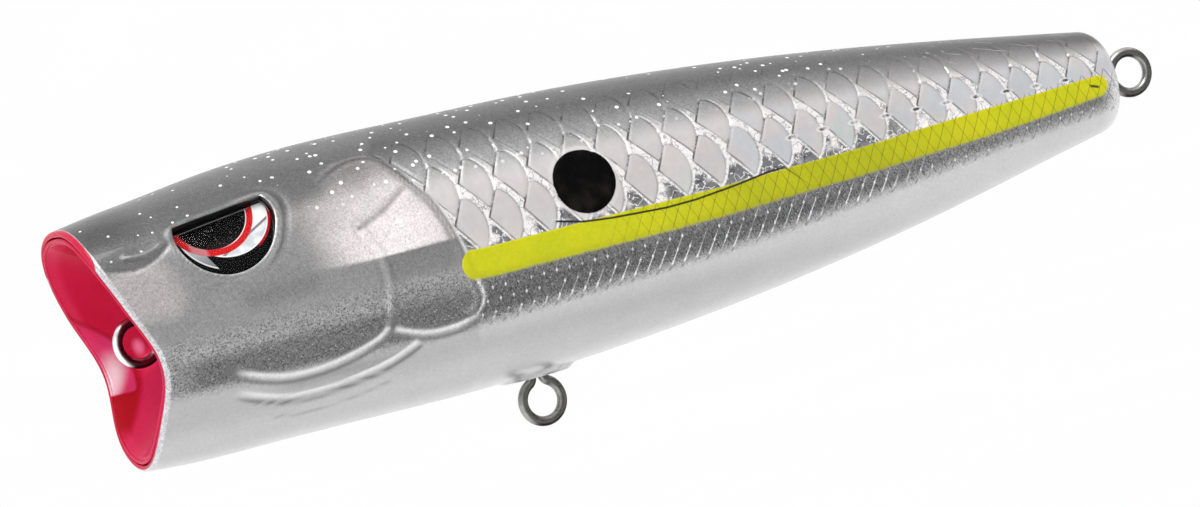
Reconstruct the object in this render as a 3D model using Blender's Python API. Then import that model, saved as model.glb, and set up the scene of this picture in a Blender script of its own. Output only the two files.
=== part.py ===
"""Topwater popper: a hollow two-shell fishing lure with a cupped red mouth insert, three wire eyes,
sunk half-moon eyes, fixed ballast and loose rattle balls.

Millimetres inside the functions, metres in the scene. The body runs along Y, nose towards -Y, and
the shells part on the plane X = 0. The lure's own left side is +X. Every piece hangs from an empty
that centres the whole lure, wire eyes included, on the scene's origin in Y and Z.
"""

import math

import bmesh
import bpy
from mathutils import Matrix, Vector

MM = 0.001
SIDES = (("left", 1), ("right", -1))

# ---------------------------------------------------------------- body (mm)
# stations along the body: y, height above the axis, depth below the axis, half width
STATIONS = (
    (-1.0, 8.58, 8.85, 6.72),
    (2.0, 9.00, 9.20, 7.05),
    (5.0, 9.33, 9.42, 7.38),
    (10.0, 9.90, 9.50, 7.82),
    (18.0, 10.25, 9.65, 8.20),
    (26.0, 10.02, 9.80, 8.30),
    (35.0, 9.68, 9.58, 8.12),
    (45.0, 8.92, 8.90, 7.60),
    (55.0, 7.78, 7.80, 6.75),
    (65.0, 6.28, 6.28, 5.55),
    (74.0, 4.72, 4.62, 4.25),
    (80.0, 3.62, 3.52, 3.30),
)
BODY_LENGTH = STATIONS[-1][0]
# y of the mesh's sections behind the mouth
MESH_STATIONS = (
    6.0, 8.0, 10.3, 13.0, 16.0, 19.0, 22.4, 26.2, 30.5, 33.4, 36.5, 40.0,
    43.4, 46.7, 50.1, 53.5, 57.1, 60.2, 63.4, 66.7, 70.1, 73.7, 77.0,
)
ARC_STEPS = 24                # facets round half of the body
HALF_ANGLES = [math.radians(-90 + 180 * i / ARC_STEPS) for i in range(ARC_STEPS + 1)]

WALL = 1.1                    # shell wall
PART_GAP = 0.02               # half of the gap between the two shells
TAIL_CORNER = 1.3             # radius of the tail's corner
TAIL_CORNER_STEPS = 5
TAIL_HOLE_X, TAIL_HOLE_Z = 0.30, 0.65
TAIL_INSIDE_GAP = 0.02        # last inside section lies this far ahead of the tail's inner face
TAIL_INSIDE_INSET = 0.35      # and this much further in than the wall
CORE_FRONT_Y = 5.6            # front of the solid that clips the ribs
CORE_OVERLAP = 0.35           # ribs reach this far into the wall
CORE_TAIL_WALL = 0.6          # share of the wall left behind that solid
RIB_RECESS = 0.17             # ribs stop this short of the parting plane, so that only the walls meet

# ---------------------------------------------------------------- mouth
# the lips stand forward, the corners of the mouth are cut back
LIP_TOP_Y, LIP_BOTTOM_Y = -0.60, 0.95
MOUTH_HEIGHT = 17.6
LIP_PUSH, LIP_PUSH_Z = 0.50, (2.5, 8.0)   # the upper lip curls forward
NOTCH_DEPTH, NOTCH_Z, NOTCH_WIDTH = 1.70, -2.2, 4.3
SQUARE_LIP, SQUARE_LENGTH = 0.45, 9.0     # the back is squarer than an ellipse near the mouth
SKIN_SETBACK = 0.22           # the outer skin starts this far behind the lip's edge
REBATE_SETBACK = 0.10         # and the inside step this far
SKIN_SHARES = (0.25, 0.6)     # sections between the lip and the first mesh station
REBATE_LENGTH = 3.0           # shell's inside step that takes the cup
REBATE_WALL = 0.45            # shell wall left in front of the step
CUP_CLEARANCE = 0.06
CUP_END_CLEARANCE = 0.1
CUP_DEPTH = 6.3
CUP_WALL = 1.1
CUP_EDGE_INSET, CUP_EDGE_SETBACK = 0.92, 0.16    # where the bowl meets the lip
CUP_EDGE_POWER, CUP_BOWL_POWER = 3, 2.4          # how the bowl's depth falls off to its edge
# bowl rings as shares of the mouth, from the middle out and from the edge in
CUP_BACK_SHARES = (0.06, 0.2, 0.35, 0.5, 0.64, 0.76)
CUP_FRONT_SHARES = (1.0, 0.96, 0.9, 0.8, 0.68, 0.55, 0.42, 0.3, 0.18, 0.06)
CUP_SLOT_Y = (2.0, 12.0)

# ---------------------------------------------------------------- wire eyes
WIRE_R = 0.36
EYE_R = 1.49                  # centre line of the ring
LEG_OFFSET = 0.42             # half the distance between the two legs
NECK_R = 0.60                 # bend between ring and leg
FOOT_R = 0.75                 # bend between leg and foot
FOOT_REACH = 2.3              # from the middle to a foot's end
FOOT_STEPS, NECK_STEPS, RING_STEPS = 4, 3, 26
NOSE_RING_Y, NOSE_RING_Z = 3.0, -0.3
BELLY_RING_Y, BELLY_RING_Z = 31.1, -11.7
TAIL_RING_Y = 82.15
NOSE_FOOT_Y = 9.6
BELLY_FOOT_Z = -6.2
TAIL_FOOT_Y = 76.2

# slots that hold the wires
SLOT_HALF = WIRE_R + 0.1
LEG_SLOT_HALF = LEG_OFFSET + WIRE_R + 0.12
CUP_SLOT_HALF = LEG_OFFSET + SLOT_HALF
FOOT_SLOT_REACH = FOOT_REACH + 0.15
FOOT_SLOT_BEND = 0.95         # from the foot's centre line towards the ring, for the bend
NOSE_SLOT_LENGTH = 3.0
BELLY_SLOT_HALF, BELLY_SLOT_LOW_Z, BELLY_SLOT_DROP = 1.22, -14.0, 0.5
TAIL_SLOT_OVERRUN = 1.0

# oval flat pad round the belly eye; levels are z, growth of the outline
PAD_BOTTOM_Z = -9.98
PAD_LENGTH, PAD_WIDTH = 4.8, 2.6
PAD_LEVELS = ((-9.1, 0.45), (PAD_BOTTOM_Z + 0.1, 0.12), (PAD_BOTTOM_Z, 0.0))
PAD_STEPS = 20

# ---------------------------------------------------------------- fish eyes
# a 7 mm round eye cut straight along the brow
FISH_EYE_AT = (6.20, 9.0, 5.70)
FISH_EYE_LIFT = 28.0          # degrees its face looks upwards
FISH_EYE_TOE = 5.0            # degrees its face looks forwards
FISH_EYE_R = 3.50
FISH_EYE_DROP = 3.20          # how far it reaches below its centre
FISH_EYE_MIDDLE = -0.6        # the lens crown's middle, up the flank from the eye's centre
BROW = 1.20                   # brow line above the eye's centre
SOCKET_BROW = BROW + 0.40     # the socket is taller than the eye at the brow
BROW_TILT = 4.5               # degrees, rising towards the tail
SOCKET_DEPTH = 1.0
SOCKET_CUT_HEIGHT = 3.0       # the cutter reaches this far outside the eye plane
BACKING_MARGIN, BACKING_BROW_MARGIN, BACKING_DEPTH = 0.9, 0.8, 0.9   # backing beyond the socket
EYE_CLEARANCE = 0.08
EYE_FLOOR = -SOCKET_DEPTH + 0.04
FOIL_THICKNESS = 0.40
LENS_GAP = 0.03               # between foil and lens
LENS_SCALE = 0.985            # the lens is a little smaller than the foil
LENS_EDGE, LENS_CROWN, LENS_POWER = 0.28, 0.42, 2.2
LENS_SHARES = (0.9, 0.74, 0.55, 0.34, 0.12)
EYE_STEPS, BACKING_STEPS = 24, 16

# ---------------------------------------------------------------- inside
KNOCKER_Z, KNOCKER_R, KNOCKER_TUBE = -2.9, 2.70, 2.95
KNOCKER_ENDS = (37.0, 53.0)
RATTLE_Z, RATTLE_R, RATTLE_TUBE = 4.4, 1.50, 1.75
RATTLE_ENDS = (16.5, 30.0)
RATTLE_COUNT, RATTLE_SPACE = 3, 0.12
TUBE_WALL = 0.8
BULKHEAD = 1.0                # thickness of the walls that close the chambers
BELLY_WEIGHT_R, BELLY_WEIGHT_ENDS, BELLY_WEIGHT_Z = 2.60, (18.5, 27.5), -5.7
TAIL_WEIGHT_R, TAIL_WEIGHT_ENDS = 3.10, (56.5, 64.5)
SEAT_CLEARANCE = 0.1
CRADLE = 1.2                  # thickness of the ribs that carry a weight
BELLY_CRADLE_INSET, TAIL_CRADLE_INSET = 1.2, 1.0    # from the weight's ends
BELLY_CRADLE_TOP_Z = -4.2
BEYOND_SKIN = 12.0            # ribs are drawn out to here, then clipped to the shell's inside
NOSE_ANCHOR_HALF_Y, NOSE_ANCHOR_HALF_Z = 1.2, 3.0
BELLY_ANCHOR_X, BELLY_ANCHOR_HALF_Y, BELLY_ANCHOR_RISE = 3.4, 3.4, 1.2
TAIL_ANCHOR_FORWARD, TAIL_ANCHOR_HALF_Z = 1.4, 6.0
PINS = ((13.6, -6.2), (33.6, 5.9), (45.0, 5.0), (69.5, 2.6), (69.5, -2.6))   # y, z
PIN_R, PIN_LENGTH, PIN_BOSS_R = 0.70, 1.2, 1.45
PIN_ROOT = 1.0                # a pin starts this far inside the left shell's boss
PIN_CLEARANCE, PIN_END_CLEARANCE = 0.1, 0.3


# ---------------------------------------------------------------- profile
def spline(rows, column):
    """A natural cubic through one column of the stations, as a function of the first column."""
    xs = [row[0] for row in rows]
    ys = [row[column] for row in rows]
    count = len(xs)
    step = [xs[i + 1] - xs[i] for i in range(count - 1)]
    lower, diagonal, upper, right = [0.0] * count, [1.0] * count, [0.0] * count, [0.0] * count
    for i in range(1, count - 1):
        lower[i], diagonal[i], upper[i] = step[i - 1], 2 * (step[i - 1] + step[i]), step[i]
        right[i] = 6 * ((ys[i + 1] - ys[i]) / step[i] - (ys[i] - ys[i - 1]) / step[i - 1])
    for i in range(1, count):
        factor = lower[i] / diagonal[i - 1]
        diagonal[i] -= factor * upper[i - 1]
        right[i] -= factor * right[i - 1]
    bend = [0.0] * count      # second derivatives at the stations
    for i in range(count - 2, -1, -1):
        bend[i] = (right[i] - upper[i] * bend[i + 1]) / diagonal[i]

    def value(x):
        i = next((k for k in range(count - 1) if x <= xs[k + 1]), count - 2)
        before, after = (xs[i + 1] - x) / step[i], (x - xs[i]) / step[i]
        curved = (before**3 - before) * bend[i] + (after**3 - after) * bend[i + 1]
        return before * ys[i] + after * ys[i + 1] + curved * step[i] ** 2 / 6

    return value


top_at, bottom_at, half_width_at = (spline(STATIONS, column) for column in (1, 2, 3))


def section_point(y, angle, inset=0.0):
    """x, z of the body's skin at station y, or inset below it; angle is 0 at the flank and
    90 degrees on the back."""
    width = half_width_at(y)
    height = top_at(y) if angle > 0 else bottom_at(y)
    power = 2.0
    if angle > 0:
        power += SQUARE_LIP * math.exp(-((y / SQUARE_LENGTH) ** 2))
    cosine, sine = max(math.cos(angle), 0.0), math.sin(angle)
    x, z = cosine ** (2 / power), math.copysign(abs(sine) ** (2 / power), sine)
    normal_x = x ** (power - 1) / width
    normal_z = math.copysign(abs(z) ** (power - 1), z) / height
    size = math.hypot(normal_x, normal_z)
    return width * x - inset * normal_x / size, height * z - inset * normal_z / size


def lip_y(z):
    """The mouth's edge: how far back it lies at height z."""
    slope = (LIP_BOTTOM_Y - LIP_TOP_Y) / MOUTH_HEIGHT
    straight = (LIP_TOP_Y + LIP_BOTTOM_Y) / 2 - slope * z
    low, high = LIP_PUSH_Z
    share = min(max((z - low) / (high - low), 0.0), 1.0)
    push = LIP_PUSH * share * share * (3 - 2 * share)
    return straight - push + NOTCH_DEPTH * math.exp(-(((z - NOTCH_Z) / NOTCH_WIDTH) ** 2))


def rim_y(angle):
    """The mouth's edge at an angle, closed in on because the section changes with y."""
    y = 0.0
    for _ in range(4):
        y = lip_y(section_point(y, angle)[1])
    return y


# ---------------------------------------------------------------- scene
for old in list(bpy.data.objects):
    bpy.data.objects.remove(old, do_unlink=True)

PARTS = bpy.data.collections.new("topwater_popper")
HELPERS = bpy.data.collections.new("cutters")
bpy.context.scene.collection.children.link(PARTS)
bpy.context.scene.collection.children.link(HELPERS)


def lure_frame():
    """The parent of every piece, placed so that the lure is centred in Y and Z."""
    tail_end = TAIL_RING_Y + EYE_R + WIRE_R
    lip_front = min(rim_y(math.radians(degrees)) for degrees in range(-90, 91, 3))
    back_top = max(top_at(i * 0.25) for i in range(160))
    ring_bottom = BELLY_RING_Z - EYE_R - WIRE_R
    frame = bpy.data.objects.new("lure_frame", None)
    frame.location = Vector((0, -(tail_end + lip_front) / 2, -(back_top + ring_bottom) / 2)) * MM
    PARTS.objects.link(frame)
    return frame


FRAME = lure_frame()


def material(name, colour, roughness, metallic=0.0, alpha=1.0):
    mat = bpy.data.materials.new(name)
    mat.use_nodes = True
    inputs = mat.node_tree.nodes["Principled BSDF"].inputs
    inputs["Base Color"].default_value = (*colour, 1.0)
    inputs["Roughness"].default_value = roughness
    inputs["Metallic"].default_value = metallic
    inputs["Alpha"].default_value = alpha
    return mat


SHELL_SILVER = material("shell_silver", colour=(0.62, 0.63, 0.64), roughness=0.25, metallic=0.7)
MOUTH_RED = material("mouth_red", colour=(0.66, 0.03, 0.09), roughness=0.2)
WIRE_STEEL = material("wire_stainless", colour=(0.60, 0.60, 0.60), roughness=0.25, metallic=1.0)
EYE_FOIL = material("eye_foil", colour=(0.80, 0.10, 0.08), roughness=0.3, metallic=0.4)
EYE_CLEAR = material("eye_clear_resin", colour=(0.95, 0.95, 0.95), roughness=0.05, alpha=0.3)
WEIGHT_BRASS = material("weight_brass", colour=(0.70, 0.55, 0.25), roughness=0.35, metallic=1.0)
WEIGHT_STEEL = material("weight_steel", colour=(0.45, 0.45, 0.47), roughness=0.4, metallic=1.0)
BALL_STEEL = material("ball_chrome_steel", colour=(0.75, 0.75, 0.76), roughness=0.12, metallic=1.0)


# ---------------------------------------------------------------- building blocks
def add_object(name, data, mat=None, at=(0, 0, 0)):
    """A piece of the lure, or a hidden helper where no material is given."""
    obj = bpy.data.objects.new(name, data)
    obj.parent = FRAME
    obj.location = Vector(at) * MM
    if mat:
        PARTS.objects.link(obj)
        data.materials.append(mat)
    else:
        HELPERS.objects.link(obj)
        obj.hide_render = True
        obj.display_type = "WIRE"
    return obj


def finish_bmesh(bm, name, smooth=True):
    bmesh.ops.scale(bm, vec=(MM, MM, MM), verts=bm.verts)
    mesh = bpy.data.meshes.new(name)
    bm.to_mesh(mesh)
    bm.free()
    if smooth:
        mesh.shade_smooth()
        mesh.set_sharp_from_angle(angle=math.radians(35))
    return mesh


def ring_loft(name, rings, smooth=True):
    """A mesh through closed rings of points, with a cap on the first and the last."""
    bm = bmesh.new()
    rows = [[bm.verts.new(point) for point in ring] for ring in rings]
    count = len(rows[0])
    for row, following in zip(rows, rows[1:]):
        for i in range(count):
            j = (i + 1) % count
            bm.faces.new((row[i], row[j], following[j], following[i]))
    bm.faces.new(rows[0])
    bm.faces.new(rows[-1])
    bmesh.ops.recalc_face_normals(bm, faces=bm.faces)
    return finish_bmesh(bm, name, smooth)


def box(name, low, high, side=1):
    """A helper box between two corners, mirrored in X for the right side."""
    low, high = Vector(low), Vector(high)
    if side < 0:
        low.x, high.x = -high.x, -low.x
    bm = bmesh.new()
    bmesh.ops.create_cube(bm, size=1.0)
    bmesh.ops.scale(bm, vec=high - low, verts=bm.verts)
    return add_object(name, finish_bmesh(bm, name, smooth=False), at=(low + high) / 2)


def cylinder(name, radius, start, end, segments, mat=None):
    """A cylinder between two points that differ along X or along Y."""
    start, end = Vector(start), Vector(end)
    bm = bmesh.new()
    bmesh.ops.create_cone(
        bm, cap_ends=True, segments=segments, radius1=radius, radius2=radius,
        depth=(end - start).length,
    )
    turn_axis = "Y" if start.x != end.x else "X"
    bmesh.ops.rotate(bm, matrix=Matrix.Rotation(math.pi / 2, 3, turn_axis), verts=bm.verts)
    return add_object(name, finish_bmesh(bm, name), mat, (start + end) / 2)


def long_cylinder(name, radius, ends, z, segments=24, mat=None, extra=0.0):
    """A cylinder along the body between two y values, longer by extra at each end."""
    start, end = ends
    return cylinder(name, radius, (0, start - extra, z), (0, end + extra, z), segments, mat)


def sphere(name, radius, at, mat):
    bm = bmesh.new()
    bmesh.ops.create_uvsphere(bm, u_segments=20, v_segments=12, radius=radius)
    return add_object(name, finish_bmesh(bm, name), mat, at)


def boolean(obj, operation, *operands):
    """One boolean modifier for each operand, which is an object or a collection."""
    for operand in operands:
        modifier = obj.modifiers.new(f"{operation.lower()}_{operand.name}"[:60], "BOOLEAN")
        modifier.operation = operation
        modifier.solver = "EXACT"
        if isinstance(operand, bpy.types.Collection):
            modifier.operand_type = "COLLECTION"
            modifier.collection = operand
        else:
            modifier.object = operand


# ---------------------------------------------------------------- shell walls
def shell_loop(angle, side):
    """The closed outline of the wall at one angle: outside from lip to tail, round the tail, and
    back inside."""
    rim = rim_y(angle)
    points = []

    def skin(y, inset):
        x, z = section_point(y, angle, inset)
        points.append((x, y, z))

    front = rim + SKIN_SETBACK
    skin(front, 0.0)
    for share in SKIN_SHARES:
        skin(front + (MESH_STATIONS[0] - front) * share, 0.0)
    for y in MESH_STATIONS:
        skin(y, 0.0)

    corner_y = BODY_LENGTH - TAIL_CORNER
    for k in range(TAIL_CORNER_STEPS + 1):
        turn = math.radians(90 / TAIL_CORNER_STEPS * k)
        x, z = section_point(corner_y, angle, TAIL_CORNER * (1 - math.cos(turn)))
        points.append((x, corner_y + TAIL_CORNER * math.sin(turn), z))
    for y in (BODY_LENGTH, BODY_LENGTH - WALL):
        points.append((TAIL_HOLE_X * math.cos(angle), y, TAIL_HOLE_Z * math.sin(angle)))

    skin(BODY_LENGTH - WALL - TAIL_INSIDE_GAP, WALL + TAIL_INSIDE_INSET)
    for y in reversed(MESH_STATIONS[:-1]):
        skin(y, WALL)
    skin(rim + REBATE_LENGTH, WALL)
    skin(rim + REBATE_LENGTH, REBATE_WALL)
    skin(rim + REBATE_SETBACK, REBATE_WALL)
    skin(rim, REBATE_WALL * 0.5)
    return [(side * (x + PART_GAP), y, z) for x, y, z in points]


def half_shell(name, side):
    rings = [shell_loop(angle, side) for angle in HALF_ANGLES]
    return add_object(name, ring_loft(name, rings), SHELL_SILVER)


def half_core(name, side):
    """The inside of one half as a solid, reaching a little into the wall so that ribs join it."""
    rings = []
    for y in (CORE_FRONT_Y, *MESH_STATIONS, BODY_LENGTH - WALL * CORE_TAIL_WALL):
        ring = []
        for angle in HALF_ANGLES:
            x, z = section_point(y, angle, WALL - CORE_OVERLAP)
            ring.append((side * max(x + PART_GAP, RIB_RECESS), y, z))
        rings.append(ring)
    return add_object(name, ring_loft(name, rings))


# ---------------------------------------------------------------- eye plane and outline
def eye_matrix(side):
    """Axes and centre of the eye plane: local X along the body towards the tail, local Y up the
    flank, local Z outwards."""
    lift, toe, tilt = (math.radians(a) for a in (FISH_EYE_LIFT, FISH_EYE_TOE, BROW_TILT))
    out = Vector((math.cos(lift) * math.cos(toe), -math.sin(toe), math.sin(lift)))
    out.normalize()
    level = (Vector((0, 1, 0)) - out * out.y).normalized()
    upright = out.cross(level)
    along = level * math.cos(tilt) + upright * math.sin(tilt)
    up = upright * math.cos(tilt) - level * math.sin(tilt)
    axes = Matrix((along, up, out)).transposed()
    centre = Vector(FISH_EYE_AT)
    if side < 0:
        axes = Matrix.Diagonal((-1, 1, 1)) @ axes
        centre.x = -centre.x
    return axes, centre


def eye_outline(shrink, brow, steps=EYE_STEPS):
    """Round below, cut straight along the brow above."""
    radius, drop = FISH_EYE_R - shrink, FISH_EYE_DROP - shrink
    reach = math.acos(brow / radius)
    points = []
    for i in range(steps + 1):
        angle = math.pi / 2 + reach + (2 * math.pi - 2 * reach) * i / steps
        u, v = radius * math.cos(angle), radius * math.sin(angle)
        points.append((u, v * drop / radius if v < 0 else v))
    return points


def eye_solid(name, side, outline, levels, mat=None):
    """Stacked copies of the outline: levels are (height, scale), heights outwards."""
    axes, centre = eye_matrix(side)
    middle = Vector((0, FISH_EYE_MIDDLE, 0))
    rings = []
    for height, scale in levels:
        ring = []
        for u, v in outline:
            local = middle + (Vector((u, v, 0)) - middle) * scale
            ring.append(axes @ Vector((local.x, local.y, height)))
        rings.append(ring)
    return add_object(name, ring_loft(name, rings), mat, centre)


# ---------------------------------------------------------------- ribs inside each half
def bulkheads(tag, side):
    """Walls across the body at both ends of the two chambers."""
    fronts = (
        RATTLE_ENDS[0] - BULKHEAD, RATTLE_ENDS[1],
        KNOCKER_ENDS[0] - BULKHEAD, KNOCKER_ENDS[1],
    )
    return [
        box(f"{tag}_bulkhead_{i}", (0, y, -BEYOND_SKIN),
            (BEYOND_SKIN, y + BULKHEAD, BEYOND_SKIN), side)
        for i, y in enumerate(fronts, 1)
    ]


def chamber_walls(tag):
    """Tubes round the chambers, reaching to the middle of the bulkheads."""
    return [
        long_cylinder(f"{tag}_knocker_wall", KNOCKER_TUBE + TUBE_WALL, KNOCKER_ENDS, KNOCKER_Z,
                      extra=BULKHEAD / 2),
        long_cylinder(f"{tag}_rattle_wall", RATTLE_TUBE + TUBE_WALL, RATTLE_ENDS, RATTLE_Z,
                      segments=20, extra=BULKHEAD / 2),
    ]


def cradles(name, side, ends, inset, top_z):
    """Two ribs that carry a weight near its ends."""
    return [
        box(f"{name}_{i}", (0, y, -BEYOND_SKIN), (BEYOND_SKIN, y + CRADLE, top_z), side)
        for i, y in enumerate((ends[0] + inset, ends[1] - inset - CRADLE), 1)
    ]


def wire_anchors(tag, side):
    """Blocks that the wires' feet are held in."""
    return [
        box(f"{tag}_nose_anchor",
            (0, NOSE_FOOT_Y - NOSE_ANCHOR_HALF_Y, NOSE_RING_Z - NOSE_ANCHOR_HALF_Z),
            (BEYOND_SKIN, NOSE_FOOT_Y + NOSE_ANCHOR_HALF_Y, NOSE_RING_Z + NOSE_ANCHOR_HALF_Z),
            side),
        box(f"{tag}_belly_anchor",
            (0, BELLY_RING_Y - BELLY_ANCHOR_HALF_Y, -BEYOND_SKIN),
            (BELLY_ANCHOR_X, BELLY_RING_Y + BELLY_ANCHOR_HALF_Y, BELLY_FOOT_Z + BELLY_ANCHOR_RISE),
            side),
        box(f"{tag}_tail_anchor",
            (0, TAIL_FOOT_Y - TAIL_ANCHOR_FORWARD, -TAIL_ANCHOR_HALF_Z),
            (BEYOND_SKIN, BODY_LENGTH - WALL * 0.5, TAIL_ANCHOR_HALF_Z), side),
    ]


def pin_bosses(tag, side):
    return [
        cylinder(f"{tag}_boss_{i}", PIN_BOSS_R, (0, y, z), (side * BEYOND_SKIN, y, z), 14)
        for i, (y, z) in enumerate(PINS, 1)
    ]


def eye_backing(tag, side):
    """Material behind and around the eye socket."""
    outline = eye_outline(-BACKING_MARGIN, SOCKET_BROW + BACKING_BROW_MARGIN, BACKING_STEPS)
    levels = ((-SOCKET_DEPTH - BACKING_DEPTH, 1.0), (0.0, 1.0))
    return eye_solid(f"{tag}_eye_backing", side, outline, levels)


def bores_and_seats(tag):
    """Hollows of the chambers and seats of the weights."""
    return [
        long_cylinder(f"{tag}_knocker_bore", KNOCKER_TUBE, KNOCKER_ENDS, KNOCKER_Z),
        long_cylinder(f"{tag}_rattle_bore", RATTLE_TUBE, RATTLE_ENDS, RATTLE_Z, segments=20),
        long_cylinder(f"{tag}_belly_seat", BELLY_WEIGHT_R + SEAT_CLEARANCE, BELLY_WEIGHT_ENDS,
                      BELLY_WEIGHT_Z, extra=SEAT_CLEARANCE),
        long_cylinder(f"{tag}_tail_seat", TAIL_WEIGHT_R + SEAT_CLEARANCE, TAIL_WEIGHT_ENDS, 0,
                      extra=SEAT_CLEARANCE),
    ]


def half_ribs(tag, side):
    """Everything that stands inside one half, joined and clipped to the inside of the shell."""
    core = half_core(f"{tag}_core", side)
    group = bpy.data.collections.new(f"{tag}_ribs")
    HELPERS.children.link(group)
    ribs, *others = (
        *bulkheads(tag, side),
        *chamber_walls(tag),
        *cradles(f"{tag}_belly_cradle", side, BELLY_WEIGHT_ENDS, BELLY_CRADLE_INSET,
                 BELLY_CRADLE_TOP_Z),
        *cradles(f"{tag}_tail_cradle", side, TAIL_WEIGHT_ENDS, TAIL_CRADLE_INSET, BEYOND_SKIN),
        *wire_anchors(tag, side),
        *pin_bosses(tag, side),
        eye_backing(tag, side),
    )
    for other in others:
        HELPERS.objects.unlink(other)
        group.objects.link(other)
    # the first bulkhead carries the modifiers
    boolean(ribs, "UNION", group)
    boolean(ribs, "INTERSECT", core)
    boolean(ribs, "DIFFERENCE", *bores_and_seats(tag))
    return ribs


# ---------------------------------------------------------------- other features of the shells
def wire_slots(tag):
    """Slots for the legs and feet of the three wires: name, low y and z, high y and z."""
    slots = (
        ("nose_leg", (NOSE_FOOT_Y - NOSE_SLOT_LENGTH, NOSE_RING_Z - LEG_SLOT_HALF),
         (NOSE_FOOT_Y, NOSE_RING_Z + LEG_SLOT_HALF)),
        ("nose_foot", (NOSE_FOOT_Y - FOOT_SLOT_BEND, NOSE_RING_Z - FOOT_SLOT_REACH),
         (NOSE_FOOT_Y + SLOT_HALF, NOSE_RING_Z + FOOT_SLOT_REACH)),
        ("belly_leg", (BELLY_RING_Y - BELLY_SLOT_HALF, BELLY_SLOT_LOW_Z),
         (BELLY_RING_Y + BELLY_SLOT_HALF, BELLY_FOOT_Z - BELLY_SLOT_DROP)),
        ("belly_foot", (BELLY_RING_Y - FOOT_SLOT_REACH, BELLY_FOOT_Z - FOOT_SLOT_BEND),
         (BELLY_RING_Y + FOOT_SLOT_REACH, BELLY_FOOT_Z + SLOT_HALF)),
        ("tail_leg", (TAIL_FOOT_Y, -LEG_SLOT_HALF),
         (BODY_LENGTH + TAIL_SLOT_OVERRUN, LEG_SLOT_HALF)),
        ("tail_foot", (TAIL_FOOT_Y - SLOT_HALF, -FOOT_SLOT_REACH),
         (TAIL_FOOT_Y + FOOT_SLOT_BEND, FOOT_SLOT_REACH)),
    )
    return [
        box(f"{tag}_{name}_slot", (-SLOT_HALF, *low), (SLOT_HALF, *high))
        for name, low, high in slots
    ]


def belly_pad(tag, side):
    """Half of the oval flat pad that the belly eye stands in."""
    rings = []
    for z, grow in PAD_LEVELS:
        ring = []
        for i in range(PAD_STEPS + 1):
            angle = math.radians(-90 + 180 * i / PAD_STEPS)
            x = PART_GAP + (PAD_WIDTH / 2 + grow) * math.cos(angle)
            y = BELLY_RING_Y + (PAD_LENGTH / 2 + grow) * math.sin(angle)
            ring.append((side * x, y, z))
        rings.append(ring)
    name = f"{tag}_belly_pad"
    return add_object(name, ring_loft(name, rings, smooth=False))


def pin_row(name, radius, length):
    """Helper cylinders at the pins, reaching across the parting plane to the right."""
    return [
        cylinder(f"{name}_{i}", radius, (-length, y, z), (PIN_ROOT, y, z), 12)
        for i, (y, z) in enumerate(PINS, 1)
    ]


def eye_socket(tag, side):
    levels = ((-SOCKET_DEPTH, 1.0), (SOCKET_CUT_HEIGHT, 1.0))
    return eye_solid(f"{tag}_eye_socket", side, eye_outline(0.0, SOCKET_BROW), levels)


def finished_shell(tag, side):
    """One half of the body; the left one has the pins, the right one their sockets."""
    shell = half_shell(f"{tag}_shell", side)
    boolean(shell, "UNION", half_ribs(tag, side), belly_pad(tag, side))
    if side > 0:
        boolean(shell, "UNION", *pin_row("pin", PIN_R, PIN_LENGTH))
    else:
        sockets = pin_row("pin_socket", PIN_R + PIN_CLEARANCE, PIN_LENGTH + PIN_END_CLEARANCE)
        boolean(shell, "DIFFERENCE", *sockets)
    boolean(shell, "DIFFERENCE", *wire_slots(tag), eye_socket(tag, side))


# ---------------------------------------------------------------- mouth cup
def mouth_cup():
    """One-piece bowl with a skirt that fits the step inside the shells' front edge."""
    count = 2 * ARC_STEPS
    angles = [math.radians(-180 + 360 * i / count) for i in range(count)]

    def full_ring(point_at):
        """A ring round both sides, from a function that gives the left side's points."""
        ring = []
        for angle in angles:
            on_left = abs(angle) <= math.pi / 2
            x, y, z = point_at(angle if on_left else math.copysign(math.pi, angle) - angle)
            ring.append((x if on_left else -x, y, z))
        return ring

    def skirt(setback, inset):
        def point_at(angle):
            y = rim_y(angle) + setback
            x, z = section_point(y, angle, inset)
            return x, y, z

        return full_ring(point_at)

    def bowl(share, push):
        def point_at(angle):
            rim = rim_y(angle)
            x, z = section_point(rim, angle, CUP_EDGE_INSET)
            edge = (rim + CUP_EDGE_SETBACK) * share**CUP_EDGE_POWER
            y = edge + CUP_DEPTH * (1 - share**CUP_BOWL_POWER) + push
            return x * share, y, z * share

        return full_ring(point_at)

    inset = REBATE_WALL + CUP_CLEARANCE
    skirt_end = REBATE_LENGTH - CUP_END_CLEARANCE
    rings = [
        *(bowl(share, CUP_WALL) for share in CUP_BACK_SHARES),
        skirt(skirt_end, WALL + 0.1),
        skirt(skirt_end, inset),
        # the front edge is rounded over
        skirt(0.12, inset),
        skirt(0.0, inset + 0.14),
        skirt(0.03, inset + 0.28),
        *(bowl(share, 0.0) for share in CUP_FRONT_SHARES),
    ]
    cup = add_object("mouth_cup", ring_loft("mouth_cup", rings), MOUTH_RED)
    front, back = CUP_SLOT_Y
    slot = box("cup_wire_slot", (-SLOT_HALF, front, NOSE_RING_Z - CUP_SLOT_HALF),
               (SLOT_HALF, back, NOSE_RING_Z + CUP_SLOT_HALF))
    boolean(cup, "DIFFERENCE", slot)


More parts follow.
